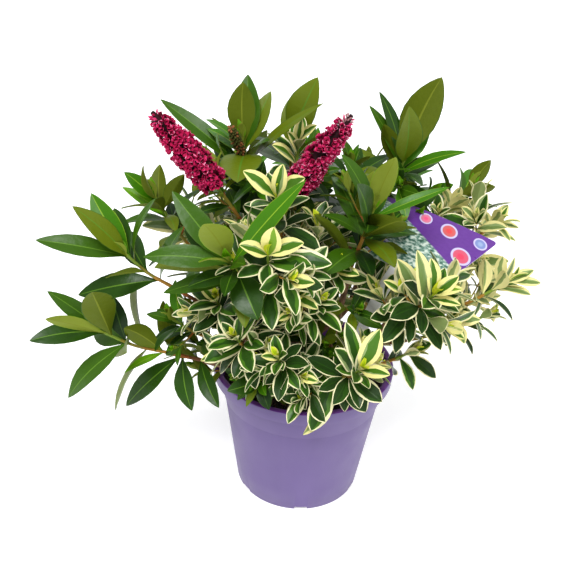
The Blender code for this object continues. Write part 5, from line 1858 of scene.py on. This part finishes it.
def make_leaves(side, kind, names, masses):
    leaves = Bundle(GREEN_PALETTE if kind == "green" else CREAM_PALETTE)
    for name in names:
        mass = masses[name]
        rng = random.Random(SEED + list(SHOOTS).index(name) * 17)
        length = SHOOTS[name][5]
        young = []
        if name not in SPIKES:
            young += buds(rng, kind, mass["stem"][0], length)
        for twig in mass["twigs"]:
            young += buds(rng, kind, twig, 0.7 * length)
        for leaf in mass["leaves"] + young:
            fine_leaf(leaves, name, leaf, rng)
    piece = leaves.make(kind + "_leaves_" + side, 50)
    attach(piece, "root")
    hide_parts(*names)


def make_blossom(masses):
    for name in SPIKES:
        blossom = Bundle(BLOSSOM_PALETTE)
        points = masses[name]["blossom"][0][0]
        flower_spike(blossom, name, points, random.Random(SEED + len(name)))
        piece = blossom.make("florets_" + name, 60)
        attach(piece, "root")
        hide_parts(name)
    spent = Bundle(("spent_olive", "spent_brown"))
    spent_spike(spent, masses["leaves_top_left"]["blossom"][0][0], random.Random(SEED))
    piece = spent.make("spent_head", 60)
    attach(piece, "root")
    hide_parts("leaves_top_left")


# Studio

def make_studio():
    """Pale floor, soft light and the camera at the layout's line of sight."""
    bpy.ops.mesh.primitive_plane_add(size=FLOOR_SIDE, location=(0.0, 0.0, -FLOOR_DROP))
    floor = bpy.context.object
    floor.name = "studio_floor"
    made, tree, shader = new_finish("studio_floor", FLOOR_COLOUR, 0.8, 0.2)
    shader.inputs["Emission Color"].default_value = (1.0, 1.0, 1.0, 1.0)
    shader.inputs["Emission Strength"].default_value = FLOOR_GLOW
    wire(tree, add_range(tree, add_noise(tree, 3), 0.75, 0.85), shader.inputs["Roughness"])
    floor.data.materials.append(made)
    world = bpy.data.worlds.new("studio_world")
    world.use_nodes = True
    world.node_tree.nodes["Background"].inputs["Color"].default_value = WORLD_COLOUR
    world.node_tree.nodes["Background"].inputs["Strength"].default_value = WORLD_LIGHT
    bpy.context.scene.world = world
    for name, spot, spread, power in SUNS:
        lamp = bpy.data.lights.new(name, "SUN")
        lamp.angle = math.radians(spread)
        lamp.energy = power
        thing = bpy.data.objects.new(name, lamp)
        bpy.context.scene.collection.objects.link(thing)
        thing.location = spot
        thing.rotation_euler = (-Vector(spot)).to_track_quat("-Z", "Y").to_euler()
    lens = bpy.data.cameras.new("camera")
    lens.sensor_width = SENSOR_WIDE
    lens.lens = SIGHT_LENS
    camera = bpy.data.objects.new("camera", lens)
    bpy.context.scene.collection.objects.link(camera)
    view = Matrix(sight_axes()).transposed().to_4x4()
    camera.matrix_world = Matrix.Translation(SIGHT_FROM) @ view
    bpy.context.scene.camera = camera
    bpy.context.scene.view_settings.view_transform = "Standard"


finishes = make_finishes()
boughs, masses, room = grow()
tone_leaders(masses)
fill_in(room, masses)
inner_shoots(room, boughs, masses)
make_pot()
make_soil()
make_label()
make_wood(boughs)
for side, carriers in SIDES.items():
    there = [name for name in SHOOTS if SHOOTS[name][1] in carriers]
    make_stems(side, there, masses)
    for kind in ("green", "cream"):
        make_leaves(side, kind, [name for name in there if masses[name]["kind"] == kind], masses)
make_blossom(masses)
make_studio()
